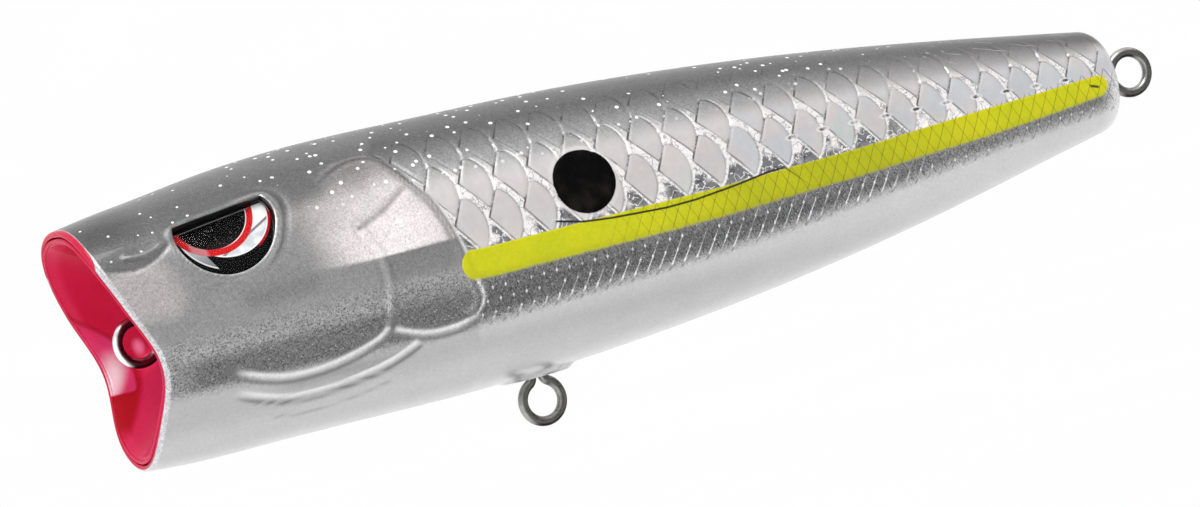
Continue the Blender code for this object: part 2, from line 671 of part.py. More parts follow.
# ---------------------------------------------------------------- wire eyes
def keyhole(foot_v):
    """Path of a keyhole hanger in its own plane: ring at the origin, legs along +v, feet turned
    outwards at foot_v."""
    neck_u = LEG_OFFSET + NECK_R
    neck_v = math.sqrt((EYE_R + NECK_R) ** 2 - neck_u**2)
    opening = math.atan2(neck_u, neck_v)
    half = [(FOOT_REACH, foot_v)]
    for k in range(FOOT_STEPS + 1):
        angle = math.radians(90 * k / FOOT_STEPS)
        half.append((
            LEG_OFFSET + FOOT_R - FOOT_R * math.sin(angle),
            foot_v - FOOT_R + FOOT_R * math.cos(angle),
        ))
    for k in range(NECK_STEPS + 1):
        angle = math.pi + k / NECK_STEPS * (math.pi / 2 - opening)
        half.append((neck_u + NECK_R * math.cos(angle), neck_v + NECK_R * math.sin(angle)))
    ring = []
    for k in range(1, RING_STEPS):
        angle = opening + (2 * math.pi - 2 * opening) * k / RING_STEPS
        ring.append((EYE_R * math.sin(angle), EYE_R * math.cos(angle)))
    return half + ring + [(-u, v) for u, v in reversed(half)]


def wire_eye(name, foot_v, place):
    """A bent wire; place turns the keyhole's u, v into the body's x, y, z."""
    curve = bpy.data.curves.new(name, "CURVE")
    curve.dimensions = "3D"
    curve.bevel_depth = WIRE_R * MM
    curve.bevel_resolution = 2
    curve.use_fill_caps = True
    path = keyhole(foot_v)
    line = curve.splines.new("POLY")
    line.points.add(len(path) - 1)
    for point, (u, v) in zip(line.points, path):
        point.co = (*(Vector(place(u, v)) * MM), 1.0)
    add_object(name, curve, WIRE_STEEL)


# ---------------------------------------------------------------- fish eyes
def fish_eye(tag, side):
    """A flat foil on the socket's floor under a domed lens."""
    outline = eye_outline(EYE_CLEARANCE, BROW)
    foil_top = EYE_FLOOR + FOIL_THICKNESS
    foil_levels = ((EYE_FLOOR, 1.0), (foil_top, 1.0))
    eye_solid(f"{tag}_eye_foil", side, outline, foil_levels, EYE_FOIL)
    base = foil_top + LENS_GAP
    edge = base + LENS_EDGE
    lens_levels = [(base, LENS_SCALE), (edge, LENS_SCALE)]
    for share in LENS_SHARES:
        lens_levels.append((edge + LENS_CROWN * (1 - share**LENS_POWER), share * LENS_SCALE))
    eye_solid(f"{tag}_eye_lens", side, outline, lens_levels, EYE_CLEAR)


# ---------------------------------------------------------------- ballast and rattles
def weights():
    long_cylinder("belly_weight", BELLY_WEIGHT_R, BELLY_WEIGHT_ENDS, BELLY_WEIGHT_Z,
                  mat=WEIGHT_BRASS)
    long_cylinder("tail_weight", TAIL_WEIGHT_R, TAIL_WEIGHT_ENDS, 0, mat=WEIGHT_STEEL)


def loose_balls():
    """One large ball in the lower chamber and a row of small ones in the upper."""
    sphere("knocker_ball", KNOCKER_R, (0, sum(KNOCKER_ENDS) / 2, KNOCKER_Z), WEIGHT_BRASS)
    middle = sum(RATTLE_ENDS) / 2
    pitch = 2 * RATTLE_R + RATTLE_SPACE
    for i in range(RATTLE_COUNT):
        y = middle + (i - (RATTLE_COUNT - 1) / 2) * pitch
        sphere(f"rattle_ball_{i + 1}", RATTLE_R, (0, y, RATTLE_Z), BALL_STEEL)


# ---------------------------------------------------------------- build
for tag, side in SIDES:
    finished_shell(tag, side)
mouth_cup()
wire_eye("line_tie_eye", NOSE_FOOT_Y - NOSE_RING_Y,
         lambda u, v: (0, NOSE_RING_Y + v, NOSE_RING_Z + u))
wire_eye("belly_hook_eye", BELLY_FOOT_Z - BELLY_RING_Z,
         lambda u, v: (0, BELLY_RING_Y + u, BELLY_RING_Z + v))
wire_eye("tail_hook_eye", TAIL_RING_Y - TAIL_FOOT_Y, lambda u, v: (0, TAIL_RING_Y - v, u))
for tag, side in SIDES:
    fish_eye(tag, side)
weights()
loose_balls()
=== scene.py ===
"""Looks of a topwater popper lure: painted half shells with scale relief, mouth cup, wires, eyes, studio.

Sizes are in mm, the scene is in metres. y runs from the nose (0) to the tail (80), z is up from the
body's axis and +x is the lure's left. OFF_Y and OFF_Z carry these coordinates to the frame.
`arc` is the distance along the skin from the widest line of the flank, positive up the back.
`side` is 1 for the left half and -1 for the right.
"""

import math
from collections import namedtuple

import bmesh
import bpy
import numpy as np
from mathutils import Matrix, Vector


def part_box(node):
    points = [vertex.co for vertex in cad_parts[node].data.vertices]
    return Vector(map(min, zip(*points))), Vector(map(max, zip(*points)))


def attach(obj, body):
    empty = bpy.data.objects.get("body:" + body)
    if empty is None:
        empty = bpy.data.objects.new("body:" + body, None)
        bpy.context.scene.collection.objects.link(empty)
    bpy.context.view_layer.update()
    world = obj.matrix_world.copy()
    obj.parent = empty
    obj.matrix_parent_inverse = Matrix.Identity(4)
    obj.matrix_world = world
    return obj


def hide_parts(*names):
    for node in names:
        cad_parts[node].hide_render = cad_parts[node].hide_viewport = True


MM = 0.001
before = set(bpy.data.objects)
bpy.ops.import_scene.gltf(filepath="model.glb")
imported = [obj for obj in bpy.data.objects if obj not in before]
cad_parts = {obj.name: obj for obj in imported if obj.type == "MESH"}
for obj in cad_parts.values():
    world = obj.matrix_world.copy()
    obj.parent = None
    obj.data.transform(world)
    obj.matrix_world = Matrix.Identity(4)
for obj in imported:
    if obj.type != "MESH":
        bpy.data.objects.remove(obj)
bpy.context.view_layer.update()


# ---------------------------------------------------------------- dimensions (mm, degrees)
# y, height of the back, depth of the belly, half width
STATIONS = np.array((
    (-1.0, 8.58, 8.85, 6.72),
    (2.0, 9.00, 9.20, 7.05),
    (5.0, 9.33, 9.42, 7.38),
    (10.0, 9.90, 9.50, 7.82),
    (18.0, 10.25, 9.65, 8.20),
    (26.0, 10.02, 9.80, 8.30),
    (35.0, 9.68, 9.58, 8.12),
    (45.0, 8.92, 8.90, 7.60),
    (55.0, 7.78, 7.80, 6.75),
    (65.0, 6.28, 6.28, 5.55),
    (74.0, 4.72, 4.62, 4.25),
    (80.0, 3.62, 3.52, 3.30),
))
FIRST_Y = -1.5                 # ahead of every point of the lip
BODY_LENGTH = 80.0
WALL = 1.1
TAIL_CORNER = 1.3
SEAM = 0.004                   # half of the hairline between the halves
REBATE_LENGTH = 3.0            # thinned wall that holds the mouth cup
REBATE_WALL = 0.45
LIP_ROLL = REBATE_WALL / 2

LIP_TOP_Y = -0.60
LIP_BOTTOM_Y = 0.95
LIP_HEIGHT = 17.6
LIP_PUSH = 0.50                # forward push of the upper lip, growing over LIP_PUSH_Z
LIP_PUSH_Z = (2.5, 8.0)
NOTCH_DEPTH = 1.70             # hollow in the lip's side
NOTCH_Z = -2.2
NOTCH_WIDTH = 4.3
SQUARE_LIP = 0.45              # extra squareness of the back near the lip
SQUARE_LENGTH = 9.0

CUP_CLEARANCE = 0.06
CUP_DEPTH = 6.3
CUP_WALL = 1.1
CUP_ROLL = 0.14

WIRE_R = 0.36
RING_R = 1.49                  # centre line of a wire eye
LEG_OFFSET = 0.42
NECK_R = 0.60
FOOT_R = 0.75
FOOT_REACH = 2.3
NOSE_RING = (3.0, -0.3)        # y, z
BELLY_RING = (31.1, -11.7)
TAIL_RING = (82.15, 0.0)
NOSE_FOOT_Y = 9.6
BELLY_FOOT_Z = -6.2
TAIL_FOOT_Y = 76.2
PAD_BOTTOM_Z = -9.98           # flat oval round the belly wire
PAD_LENGTH = 4.8
PAD_WIDTH = 2.6

EYE_AT = (6.20, 9.0, 5.70)
EYE_LIFT = 28.0
EYE_TOE = 5.0
EYE_R = 3.50
EYE_DROP = 3.20                # centre to the foot of the outline
BROW = 1.20 + 0.40             # straight top of the outline: print plus shaded edge
BROW_TILT = 4.5
EYE_SEGMENTS = 96
SOCKET_DEPTH = 1.0
EYE_CLEARANCE = 0.08
FOIL_THICKNESS = 0.40
LENS_EDGE = 0.28
LENS_CROWN = 0.42

OFF_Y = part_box("tail_hook_eye")[1].y / MM - (TAIL_RING[0] + RING_R + WIRE_R)
OFF_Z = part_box("belly_hook_eye")[0].z / MM - (BELLY_RING[1] - RING_R - WIRE_R)
SIDES = ((1, "left"), (-1, "right"))


# ---------------------------------------------------------------- numeric helpers
def smooth(start, end, x):
    """0 at start, 1 at end, smooth between; start may be above end."""
    share = np.clip((x - start) / (end - start), 0.0, 1.0)
    return share * share * (3 - 2 * share)


def bell(x, width):
    return np.exp(-((x / width) ** 2))


def lerp(start, end, share):
    return start + (end - start) * share


def taper(share, start, stop):
    """Fades a line in over its first part and out after stop."""
    return smooth(0.0, start, share) * smooth(1.0, stop, share)


def linear(grey):
    grey = np.asarray(grey, float)
    return np.where(grey <= 0.04045, grey / 12.92, ((grey + 0.055) / 1.055) ** 2.4)


def rgb(red, green, blue):
    """A linear colour from 8-bit sRGB values."""
    return tuple(float(part) for part in linear((red / 255, green / 255, blue / 255)))


def natural_cubic(knots, values):
    """The natural cubic spline through the values, as a function."""
    count = len(knots)
    gap = np.diff(knots)
    system = np.zeros((count, count))
    known = np.zeros(count)
    system[0, 0] = system[-1, -1] = 1.0
    for i in range(1, count - 1):
        system[i, i - 1 : i + 2] = gap[i - 1], 2 * (gap[i - 1] + gap[i]), gap[i]
        slopes = np.diff(values[i - 1 : i + 2]) / gap[i - 1 : i + 1]
        known[i] = 6 * (slopes[1] - slopes[0])
    bend = np.linalg.solve(system, known)

    def curve(x):
        x = np.asarray(x, float)
        i = np.clip(np.searchsorted(knots, x, side="left") - 1, 0, count - 2)
        left = (knots[i + 1] - x) / gap[i]
        right = (x - knots[i]) / gap[i]
        cubic = (left**3 - left) * bend[i] + (right**3 - right) * bend[i + 1]
        return left * values[i] + right * values[i + 1] + cubic * gap[i] ** 2 / 6

    return curve


# ---------------------------------------------------------------- shape of the body
TOP, BOTTOM, HALF_WIDTH = (natural_cubic(STATIONS[:, 0], STATIONS[:, c]) for c in (1, 2, 3))


def exponent(y, is_back):
    """Superellipse exponent of a half section."""
    return 2.0 + np.where(is_back, SQUARE_LIP * np.exp(-((y / SQUARE_LENGTH) ** 2)), 0.0)


def section(y, angle, inset=0.0):
    """x and z of the skin, or of a surface inset below it. angle: 0 at the flank, 90 degrees on
    the back."""
    y, angle = np.broadcast_arrays(np.asarray(y, float), np.asarray(angle, float))
    width = HALF_WIDTH(y)
    height = np.where(angle > 0, TOP(y), BOTTOM(y))
    power = exponent(y, angle > 0)
    cosine, sine = np.maximum(np.cos(angle), 0.0), np.sin(angle)
    x, z = cosine ** (2 / power), np.sign(sine) * np.abs(sine) ** (2 / power)
    normal_x = x ** (power - 1) / width
    normal_z = np.sign(z) * np.abs(z) ** (power - 1) / height
    size = np.hypot(normal_x, normal_z)
    return width * x - inset * normal_x / size, height * z - inset * normal_z / size


def lip_y(z):
    slope = (LIP_BOTTOM_Y - LIP_TOP_Y) / LIP_HEIGHT
    straight = (LIP_TOP_Y + LIP_BOTTOM_Y) / 2 - slope * z
    notch = NOTCH_DEPTH * bell(z - NOTCH_Z, NOTCH_WIDTH)
    return straight - LIP_PUSH * smooth(*LIP_PUSH_Z, z) + notch


def rim_y(angle):
    """y of the lip at a section angle, found by repetition since z depends on y."""
    y = np.zeros_like(np.asarray(angle, float))
    for _ in range(4):
        y = lip_y(section(y, angle)[1])
    return y


def angle_at(x, y, z):
    """The section angle of a point on or near the skin."""
    y = np.clip(y, FIRST_Y, BODY_LENGTH)
    height = np.where(z > 0, TOP(y), BOTTOM(y))
    power = exponent(y, z > 0)
    return np.arctan2(
        np.sign(z) * (np.abs(z) / height) ** (power / 2),
        (np.abs(x) / HALF_WIDTH(y)) ** (power / 2),
    )


TABLE_Y = np.linspace(FIRST_Y, BODY_LENGTH, 164)
TABLE_ANGLE = np.radians(np.linspace(-90, 90, 361))


def arc_table():
    x, z = section(TABLE_Y[:, None], TABLE_ANGLE[None, :])
    steps = np.hypot(np.diff(x, axis=1), np.diff(z, axis=1))
    start = np.zeros((len(TABLE_Y), 1))
    length = np.concatenate([start, np.cumsum(steps, axis=1)], axis=1)
    return length - length[:, 180:181]  # measured from angle 0


ARC_TABLE = arc_table()


def arc_at(y, angle):
    """Arc of a point on the skin, interpolated in the table."""
    column = (y - TABLE_Y[0]) / (TABLE_Y[1] - TABLE_Y[0])
    row = (angle - TABLE_ANGLE[0]) / (TABLE_ANGLE[1] - TABLE_ANGLE[0])
    column = np.clip(column, 0, len(TABLE_Y) - 1.001)
    row = np.clip(row, 0, len(TABLE_ANGLE) - 1.001)
    i, j = column.astype(int), row.astype(int)
    ahead, up = column - i, row - j
    below = ARC_TABLE[i, j] * (1 - ahead) + ARC_TABLE[i + 1, j] * ahead
    above = ARC_TABLE[i, j + 1] * (1 - ahead) + ARC_TABLE[i + 1, j + 1] * ahead
    return below * (1 - up) + above * up


def line_distance(y, arc, points):
    """Distance to a polyline, the side (positive above a line drawn tailwards), share along it."""
    best = np.full(np.shape(y), 1e9)
    side = np.zeros(np.shape(y))
    along = np.zeros(np.shape(y))
    total = len(points) - 1
    for k in range(total):
        (start_y, start_arc), (end_y, end_arc) = points[k], points[k + 1]
        run, rise = end_y - start_y, end_arc - start_arc
        share = ((y - start_y) * run + (arc - start_arc) * rise) / (run * run + rise * rise)
        share = np.clip(share, 0, 1)
        off_y, off_arc = y - (start_y + share * run), arc - (start_arc + share * rise)
        distance = np.hypot(off_y, off_arc)
        near = distance < best
        best = np.where(near, distance, best)
        side = np.where(near, np.sign(run * off_arc - rise * off_y), side)
        along = np.where(near, (k + share) / total, along)
    return best, side, along


def rounded(*points):
    """Cuts the corners of a polyline once."""
    points = [np.array(point, float) for point in points]
    out = [points[0]]
    for here, there in zip(points, points[1:]):
        out += [here * 0.75 + there * 0.25, here * 0.25 + there * 0.75]
    return [tuple(point) for point in (*out, points[-1])]


# ---------------------------------------------------------------- pattern lines, as (y, arc)
GILL = rounded(
    (16.4, 7.7), (18.0, 8.6), (19.8, 9.1), (21.3, 8.6), (22.1, 7.3), (23.1, 5.4), (23.8, 4.3),
    (24.4, 2.3), (24.8, 0.5), (25.1, -1.9), (25.45, -3.0), (25.2, -3.8), (24.2, -4.25),
)
CHEEK_SCRATCH = ((22.1, 5.6), (20.2, 4.5), (18.1, 3.7))
CHEEK_FOLD = rounded((18.1, 3.9), (18.2, 3.1), (19.0, 1.3), (19.0, -0.9), (18.4, -3.4))
SNOUT_CREASE = rounded((-0.3, 5.35), (0.9, 5.0), (2.2, 4.75), (3.8, 5.3), (4.9, 6.15))
NOSTRIL = rounded((1.2, 5.95), (2.6, 5.72), (3.8, 5.95), (4.7, 6.5))
# jaw and gill membrane: line, depth, width, tone of its painted highlight, width of that tone, strength
# of its painted shadow line
GROOVES = (
    (rounded((6.8, -3.75), (8.7, -4.6), (10.6, -5.2), (12.7, -5.32), (14.7, -5.1),
             (16.5, -4.65), (17.9, -4.15), (18.5, -3.5)), 0.19, 0.30, 0.87, 0.26, 0.85),
    (rounded((18.7, -3.7), (19.8, -4.3), (21.5, -4.85), (23.2, -4.89), (24.4, -4.7),
             (25.3, -4.25)), 0.19, 0.30, 0.87, 0.25, 0.85),
    (rounded((6.8, -5.3), (8.6, -6.15), (10.6, -6.86), (12.7, -7.05), (14.7, -6.93),
             (16.4, -6.65), (18.1, -6.3), (19.4, -5.8), (20.7, -5.1)),
     0.18, 0.32, 0.87, 0.26, 0.85),
    (rounded((9.5, -7.9), (12.0, -8.4), (15.5, -8.2), (18.5, -7.4)),
     0.012, 0.40, 0.72, 0.16, 0.30),
)

# Tables for np.interp: the places, then the values there.
GILL_TABLE = (  # y of the gill edge by arc
    (-4.3, -3.7, -2.9, -1.9, 0.5, 2.3, 4.3, 5.4, 6.4, 7.3, 8.5, 9.1, 10.0, 14.0),
    (25.1, 25.3, 25.4, 25.0, 24.8, 24.3, 23.7, 23.1, 22.4, 22.0, 21.3, 20.8, 21.6, 23.0),
)
STRIPE_CENTRE = (  # arc by y
    (24, 27, 32, 39, 45, 51, 57, 62, 68, 73, 78),
    (-0.77, -0.92, -0.95, -1.05, -1.12, -1.02, -0.97, -0.80, -0.65, -0.47, -0.24),
)
STRIPE_HALF = ((24, 40, 57, 68, 73, 78), (1.04, 1.06, 0.97, 0.97, 0.88, 0.76))
STRIPE_ENDS = (25.55, 77.75)
FLAKE_EDGE = (  # lower edge of the dark flake band, arc by y
    (0, 10, 24, 34, 44, 52, 60, 70, 79),
    (-4.3, -4.7, -5.0, -4.75, -4.5, -4.05, -3.3, -2.45, -1.9),
)
SIDE_LINE = (  # thin dark line, arc by y
    (32.2, 33.2, 34.3, 35.4, 36.4, 37.5, 38.6, 39.7, 40.8, 43.1, 44.2, 45.4, 46.7, 47.8, 49.0, 51.4),
    (0.60, 0.34, 0.08, -0.05, -0.17, -0.25, -0.33, -0.41, -0.48, -0.47, -0.39, -0.31, -0.20,
     -0.08, 0.06, 0.10),
)
SCALE_COUNT = ((26.0, 39.2, 50.3, 60.8, 71.1, 80.0), (-4.96, 0.0, 4.0, 8.0, 12.0, 15.5))
FIRST_ROW = ((25, 54, 60, 66, 71, 78), (3.83, 3.90, 3.55, 3.25, 2.82, 2.30))  # arc by y
# the dark back is paint; the bright band near 22 to 28 degrees is a painted highlight on the upper flank
BODY_TONES = (  # tone behind the gill by section angle in degrees
    (10, 22, 28, 31, 35, 38, 43, 46, 51, 56, 60, 75),
    (0.76, 0.80, 0.80, 0.76, 0.68, 0.64, 0.57, 0.53, 0.455, 0.39, 0.365, 0.40),
)
CROWN_EDGE = (  # where the dark top of the head begins, arc by y
    (-1, 1, 3, 5, 14, 16.5, 18, 19.5, 21, 23),
    (5.3, 5.0, 5.0, 6.1, 6.2, 6.6, 7.6, 8.6, 8.9, 8.6),
)
# the cheek's painted highlight: its lower edge, its tone and its dimming up the cheek
CHEEK_FLOOR = ((13.0, 15.2, 19.1, 23.5, 24.6), (1.95, 1.47, 1.27, 1.33, 1.0))  # arc by y
CHEEK_SHINE = ((13, 15, 18, 21, 22.5, 24), (0.64, 0.80, 0.96, 1.0, 0.98, 0.90))  # tone by y
CHEEK_DIM = ((1, 3.5, 5, 6, 7, 8, 9), (1.0, 0.98, 0.87, 0.81, 0.65, 0.53, 0.46))  # share by arc
SPOT_AT = (35.2, 2.87)
SPOT_R = 2.36


def gill_y(arc):
    return np.interp(arc, *GILL_TABLE)


def stripe_edges(y, arc):
    """Height above the stripe's upper edge, and signed distance to the round-ended stripe."""
    centre, half = np.interp(y, *STRIPE_CENTRE), np.interp(y, *STRIPE_HALF)
    head, tail = STRIPE_ENDS
    past = np.where(y < head, head - y, np.where(y > tail, y - tail, 0.0))
    distance = np.where(past > 0, np.hypot(past, arc - centre), np.abs(arc - centre)) - half
    return arc - centre - half, distance


def leaf(ahead, height):
    """Signed distance to one scale, from its top point, and the nearest edge: 0 the upper left,
    1 the lower left, 2 the bulge on the right."""
    upper = ((height - 0.24) * 1.15 - (ahead - 0.08) * 1.92) / math.hypot(1.15, 1.92)
    lower = -((ahead + 1.06) * 1.90 + (height + 1.68) * 1.42) / math.hypot(1.90, 1.42)
    bulge = np.hypot(ahead + 1.27, height + 2.02) - 2.60
    kind = np.where(bulge > np.maximum(upper, lower), 2, np.where(lower > upper, 1, 0))
    return np.maximum(np.maximum(upper, lower), bulge), kind


def scales(y, arc):
    """Signed distance to the nearest scale, that scale's own number from 0 to 1, the distance to
    the knots where the lowest scales meet, the nearest edge's kind, the height from its top."""
    # Scales get shorter towards the tail; whole numbers are top points of the first row.
    place = np.interp(y, *SCALE_COUNT) + np.minimum(y - SCALE_COUNT[0][0], 0.0) * 0.375
    size = 1 - 0.0035 * (y - 39)
    row = (arc - np.interp(y, *FIRST_ROW)) / (2.8 * size)
    best = np.full(np.shape(y), 1e9)
    own = np.zeros(np.shape(y))
    knot = np.full(np.shape(y), 9.0)
    kind = np.zeros(np.shape(y), int)
    height = np.zeros(np.shape(y))
    for row_step in (0, 1):
        k = np.ceil(row) + row_step
        shifted = place - 0.5 * k
        for place_step in (0, 1):
            i = np.floor(shifted) + place_step
            ahead, drop = (shifted - i) * 2.72, (row - k) * 2.8
            distance, edge = leaf(ahead, drop)
            distance = distance + np.where(k < -0.5, 9.0, 0.0)  # none below the first row
            near = distance < best
            best = np.where(near, distance, best)
            kind = np.where(near, edge, kind)
            height = np.where(near, drop, height)
            number = np.sin(i * 12.9898 + k * 78.233) * 43758.5453
            own = np.where(near, number - np.floor(number), own)
            meet = np.hypot(ahead + 1.24, (drop + 1.98) * 2.4)
            knot = np.minimum(knot, meet + np.where(np.abs(k) > 0.5, 9.0, 0.0))
    return best, own, knot, kind, height


# ---------------------------------------------------------------- plane of a fish eye
def eye_frame(side):
    """Axes of the eye's plane as columns (along, up, out), and its centre."""
    lift, toe = math.radians(EYE_LIFT), math.radians(EYE_TOE)
    out = Vector((math.cos(lift) * math.cos(toe), -math.sin(toe), math.sin(lift))).normalized()
    along = (Vector((0, 1, 0)) - out * out.y).normalized()
    up = out.cross(along)
    if up.z < 0:
        up = -up
    tilt = math.radians(BROW_TILT)
    along, up = (
        along * math.cos(tilt) + up * math.sin(tilt),
        up * math.cos(tilt) - along * math.sin(tilt),
    )
    axes = Matrix((along, up, out)).transposed()
    centre = Vector(EYE_AT)
    if side < 0:
        axes = Matrix.Diagonal((-1, 1, 1)) @ axes
        centre.x = -centre.x
    return np.array(axes), np.array(centre)


def eye_stretch(along, up):
    """The outline reaches further along at its corners than at its foot."""
    return 1 + np.where(along > 0, 0.13, 0.06) * smooth(-2.0, 1.4, up)


def eye_distance(x, y, z, side):
    """Signed distance to the socket's outline in the eye's plane, and the plane coordinates."""
    axes, centre = eye_frame(side)
    points = np.stack([x, y, z], -1) - centre
    along, up, out = (points @ axes[:, c] for c in range(3))
    rise = np.where(up < 0, up * EYE_R / EYE_DROP, up)
    oval = np.hypot(along / eye_stretch(along, up), rise) - EYE_R
    top = up - BROW
    both = np.where((oval > 0) & (top > 0), np.hypot(oval, top), np.maximum(oval, top))
    return both, along, up, out


def eye_outline(shrink):
    radius, drop = EYE_R - shrink, EYE_DROP - shrink
    reach = math.acos((BROW - shrink) / radius)
    points = []
    for i in range(EYE_SEGMENTS + 1):
        turn = math.pi / 2 + reach + (2 * math.pi - 2 * reach) * i / EYE_SEGMENTS
        along, up = radius * math.cos(turn), radius * math.sin(turn)
        stretched = along * float(eye_stretch(along, up))
        points.append((stretched, up * drop / radius if up < 0 else up))
    return np.array(points)


# ---------------------------------------------------------------- relief of the skin
def scale_relief(y, arc, degrees):
    """Raised scales, the folds under them, and the engraved net below the stripe."""
    above = stripe_edges(y, arc)[0]
    behind = smooth(0.15, 0.6, y - gill_y(arc)) * (1 - smooth(78.2, 78.8, y))
    edge = scales(y, arc)[0]
    zone = behind * smooth(-0.1, 0.25, above) * smooth(64.0, 46.0, degrees)
    height = zone * (0.055 * smooth(-0.02, 0.14, edge) - 0.05 * bell(edge, 0.07))
    height += zone * 0.03 * smooth(0.9, 0.0, -edge) * smooth(-0.02, -0.3, edge)
    fold = zone * smooth(0.25, 0.5, edge) * smooth(1.7, 0.8, above) * smooth(68, 58, y)
    height += fold * 0.05 * np.sin(y * 9.5 + arc * 7.0) * np.sin(y * 4.1 - arc * 8.3)
    net = behind * smooth(0.15, -0.05, above)
    net = net * smooth(-0.2, 0.5, arc - np.interp(y, *FLAKE_EDGE))
    for slant in (0.55, -0.55):
        place = y + slant * arc
        height -= net * 0.03 * bell(np.abs(place - np.round(place)) * 0.876, 0.07)
    return height


def head_relief(y, arc):
    """Gill cover, cheek, jaw grooves and snout."""
    # The gill cover is a low plate that ends in a step.
    distance, _, share = line_distance(y, arc, GILL)
    ahead = y < gill_y(arc)
    ends = taper(share, 0.16, 0.93)
    inside = (arc > -4.4) & (arc < 9.3) & (y > 15)
    plate = np.where(ahead, 1 - smooth(0.0, 2.9, distance), bell(distance, 0.27))
    height = np.where(inside, 0.17 * ends * plate, 0.0)
    height -= ends * np.where(ahead, 0.0, 0.06 * bell(distance - 0.50, 0.24))
    height -= 0.045 * bell(line_distance(y, arc, CHEEK_SCRATCH)[0], 0.30)
    distance, _, share = line_distance(y, arc, CHEEK_FOLD)
    height += 0.07 * bell(distance, 0.30) * smooth(0.0, 0.2, share)
    for points, depth, width, *_ in GROOVES:
        distance, above, share = line_distance(y, arc, points)
        fade = taper(share, 0.18, 0.9)
        height -= depth * bell(distance, width) * fade
        height += 0.07 * bell(distance * np.where(above > 0, 1, 9) - 0.55, 0.28) * fade
    distance, _, share = line_distance(y, arc, SNOUT_CREASE)
    height -= 0.05 * bell(distance, 0.22) * taper(share, 0.15, 0.85)
    distance, _, share = line_distance(y, arc, NOSTRIL)
    return height + 0.08 * bell(distance, 0.25) * taper(share, 0.3, 0.8)


def eye_relief(x, y, z):
    """Raised rim round the socket, strongest behind it, with a shallow trough outside."""
    edge, along, up, out = eye_distance(x, y, z, 1)
    strength = 0.08 + 0.13 * smooth(-0.5, 3.2, along) + 0.04 * smooth(1.0, 1.8, up)
    strength = strength - 0.05 * smooth(-2.0, -3.2, along)
    rim = strength * bell(np.maximum(edge, 0) - 0.16, 0.26) * (edge > -0.6)
    trough = 0.05 * bell(edge - 0.85, 0.25) * smooth(0.5, 2.5, along)
    return np.where(np.abs(out) < 4, rim - trough, 0.0)


def relief(x, y, z, arc):
    """How far the left skin stands proud of the smooth body; it dies out at the lip."""
    angle = angle_at(x, y, z)
    height = scale_relief(y, arc, np.degrees(angle)) + head_relief(y, arc) + eye_relief(x, y, z)
    return height * smooth(0.15, 1.2, y - rim_y(angle))


# ---------------------------------------------------------------- mesh helpers
def mesh_object(name, points, faces, materials, smooth_angle=40.0):
    """A closed mesh from points in body mm, with its normals pointing out."""
    points = np.array(points, float).reshape(-1, 3)
    points[:, 1] += OFF_Y
    points[:, 2] += OFF_Z
    mesh = bpy.data.meshes.new(name)
    mesh.from_pydata((points * MM).tolist(), [], [tuple(map(int, face)) for face in faces])
    mesh.update()
    for material in materials:
        mesh.materials.append(material)
    obj = bpy.data.objects.new(name, mesh)
    bpy.context.scene.collection.objects.link(obj)
    turn_out(mesh)
    mesh.shade_smooth()
    if smooth_angle:
        mesh.set_sharp_from_angle(angle=math.radians(smooth_angle))
    return obj


def turn_out(mesh):
    """Turns a closed mesh right side out."""
    bm = bmesh.new()
    bm.from_mesh(mesh)
    if bm.calc_volume(signed=True) < 0:
        bmesh.ops.reverse_faces(bm, faces=bm.faces)
    bm.to_mesh(mesh)
    bm.free()


def ring_faces(rings, count, caps=True):
    """Quads between successive closed rings, and a face at each end."""
    faces = []
    for ring in range(rings - 1):
        near, far = ring * count, (ring + 1) * count
        for i in range(count):
            j = (i + 1) % count
            faces.append((near + i, near + j, far + j, far + i))
    if caps:
        faces.append(tuple(range(count)))
        faces.append(tuple(reversed(range((rings - 1) * count, rings * count))))
    return faces


def add_attributes(mesh, **fields):
    for name, values in fields.items():
        attribute = mesh.attributes.new(name, "FLOAT", "POINT")
        attribute.data.foreach_set("value", np.asarray(values, np.float32))


def vertices_mm(mesh):
    flat = np.empty(len(mesh.vertices) * 3, np.float32)
    mesh.vertices.foreach_get("co", flat)
    points = flat.reshape(-1, 3).astype(float) / MM
    points[:, 1] -= OFF_Y
    points[:, 2] -= OFF_Z
    return points


def install(obj, node):
    """Puts an object in place of a CAD piece."""
    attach(obj, "lure_body")
    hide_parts(node)


# ---------------------------------------------------------------- shader helpers
def feed(slot, item):
    """Links a Value or a socket into a slot, or writes a number, vector or colour there."""
    if isinstance(item, Value):
        item = item.socket
    if isinstance(item, bpy.types.NodeSocket):
        slot.id_data.links.new(item, slot)
    elif isinstance(item, tuple) and slot.type == "RGBA":
        slot.default_value = (*item, 1.0)
    else:
        slot.default_value = item


def add_node(tree, kind, inputs=None, **settings):
    node = tree.nodes.new("ShaderNode" + kind)
    for name, setting in settings.items():
        setattr(node, name, setting)
    for slot, item in (inputs or {}).items():
        feed(node.inputs[slot], item)
    return node


class Value:
    """Arithmetic on one shader socket."""

    def __init__(self, socket):
        self.socket = socket
        self.tree = socket.id_data

    def math(self, kind, *others):
        inputs = dict(enumerate((self, *others)))
        return Value(add_node(self.tree, "Math", inputs, operation=kind).outputs[0])

    def __add__(self, other):
        return self.math("ADD", other)

    def __sub__(self, other):
        return self.math("SUBTRACT", other)

    def __rsub__(self, other):
        return (self * -1.0) + other

    def __mul__(self, other):
        return self.math("MULTIPLY", other)

    def __abs__(self):
        return self.math("ABSOLUTE")

    def max(self, other):
        return self.math("MAXIMUM", other)

    def min(self, other):
        return self.math("MINIMUM", other)

    def step(self, start, end):
        """0 at start, 1 at end, smooth between; start may be above end."""
        low, high = min(start, end), max(start, end)
        inputs = {"Value": self, "From Min": low, "From Max": high}
        node = add_node(self.tree, "MapRange", inputs, interpolation_type="SMOOTHSTEP")
        out = Value(node.outputs["Result"])
        return out if start <= end else 1.0 - out


# distance to the nearest centre in cell widths, and two random numbers of the cell
Cells = namedtuple("Cells", "distance tint pick")


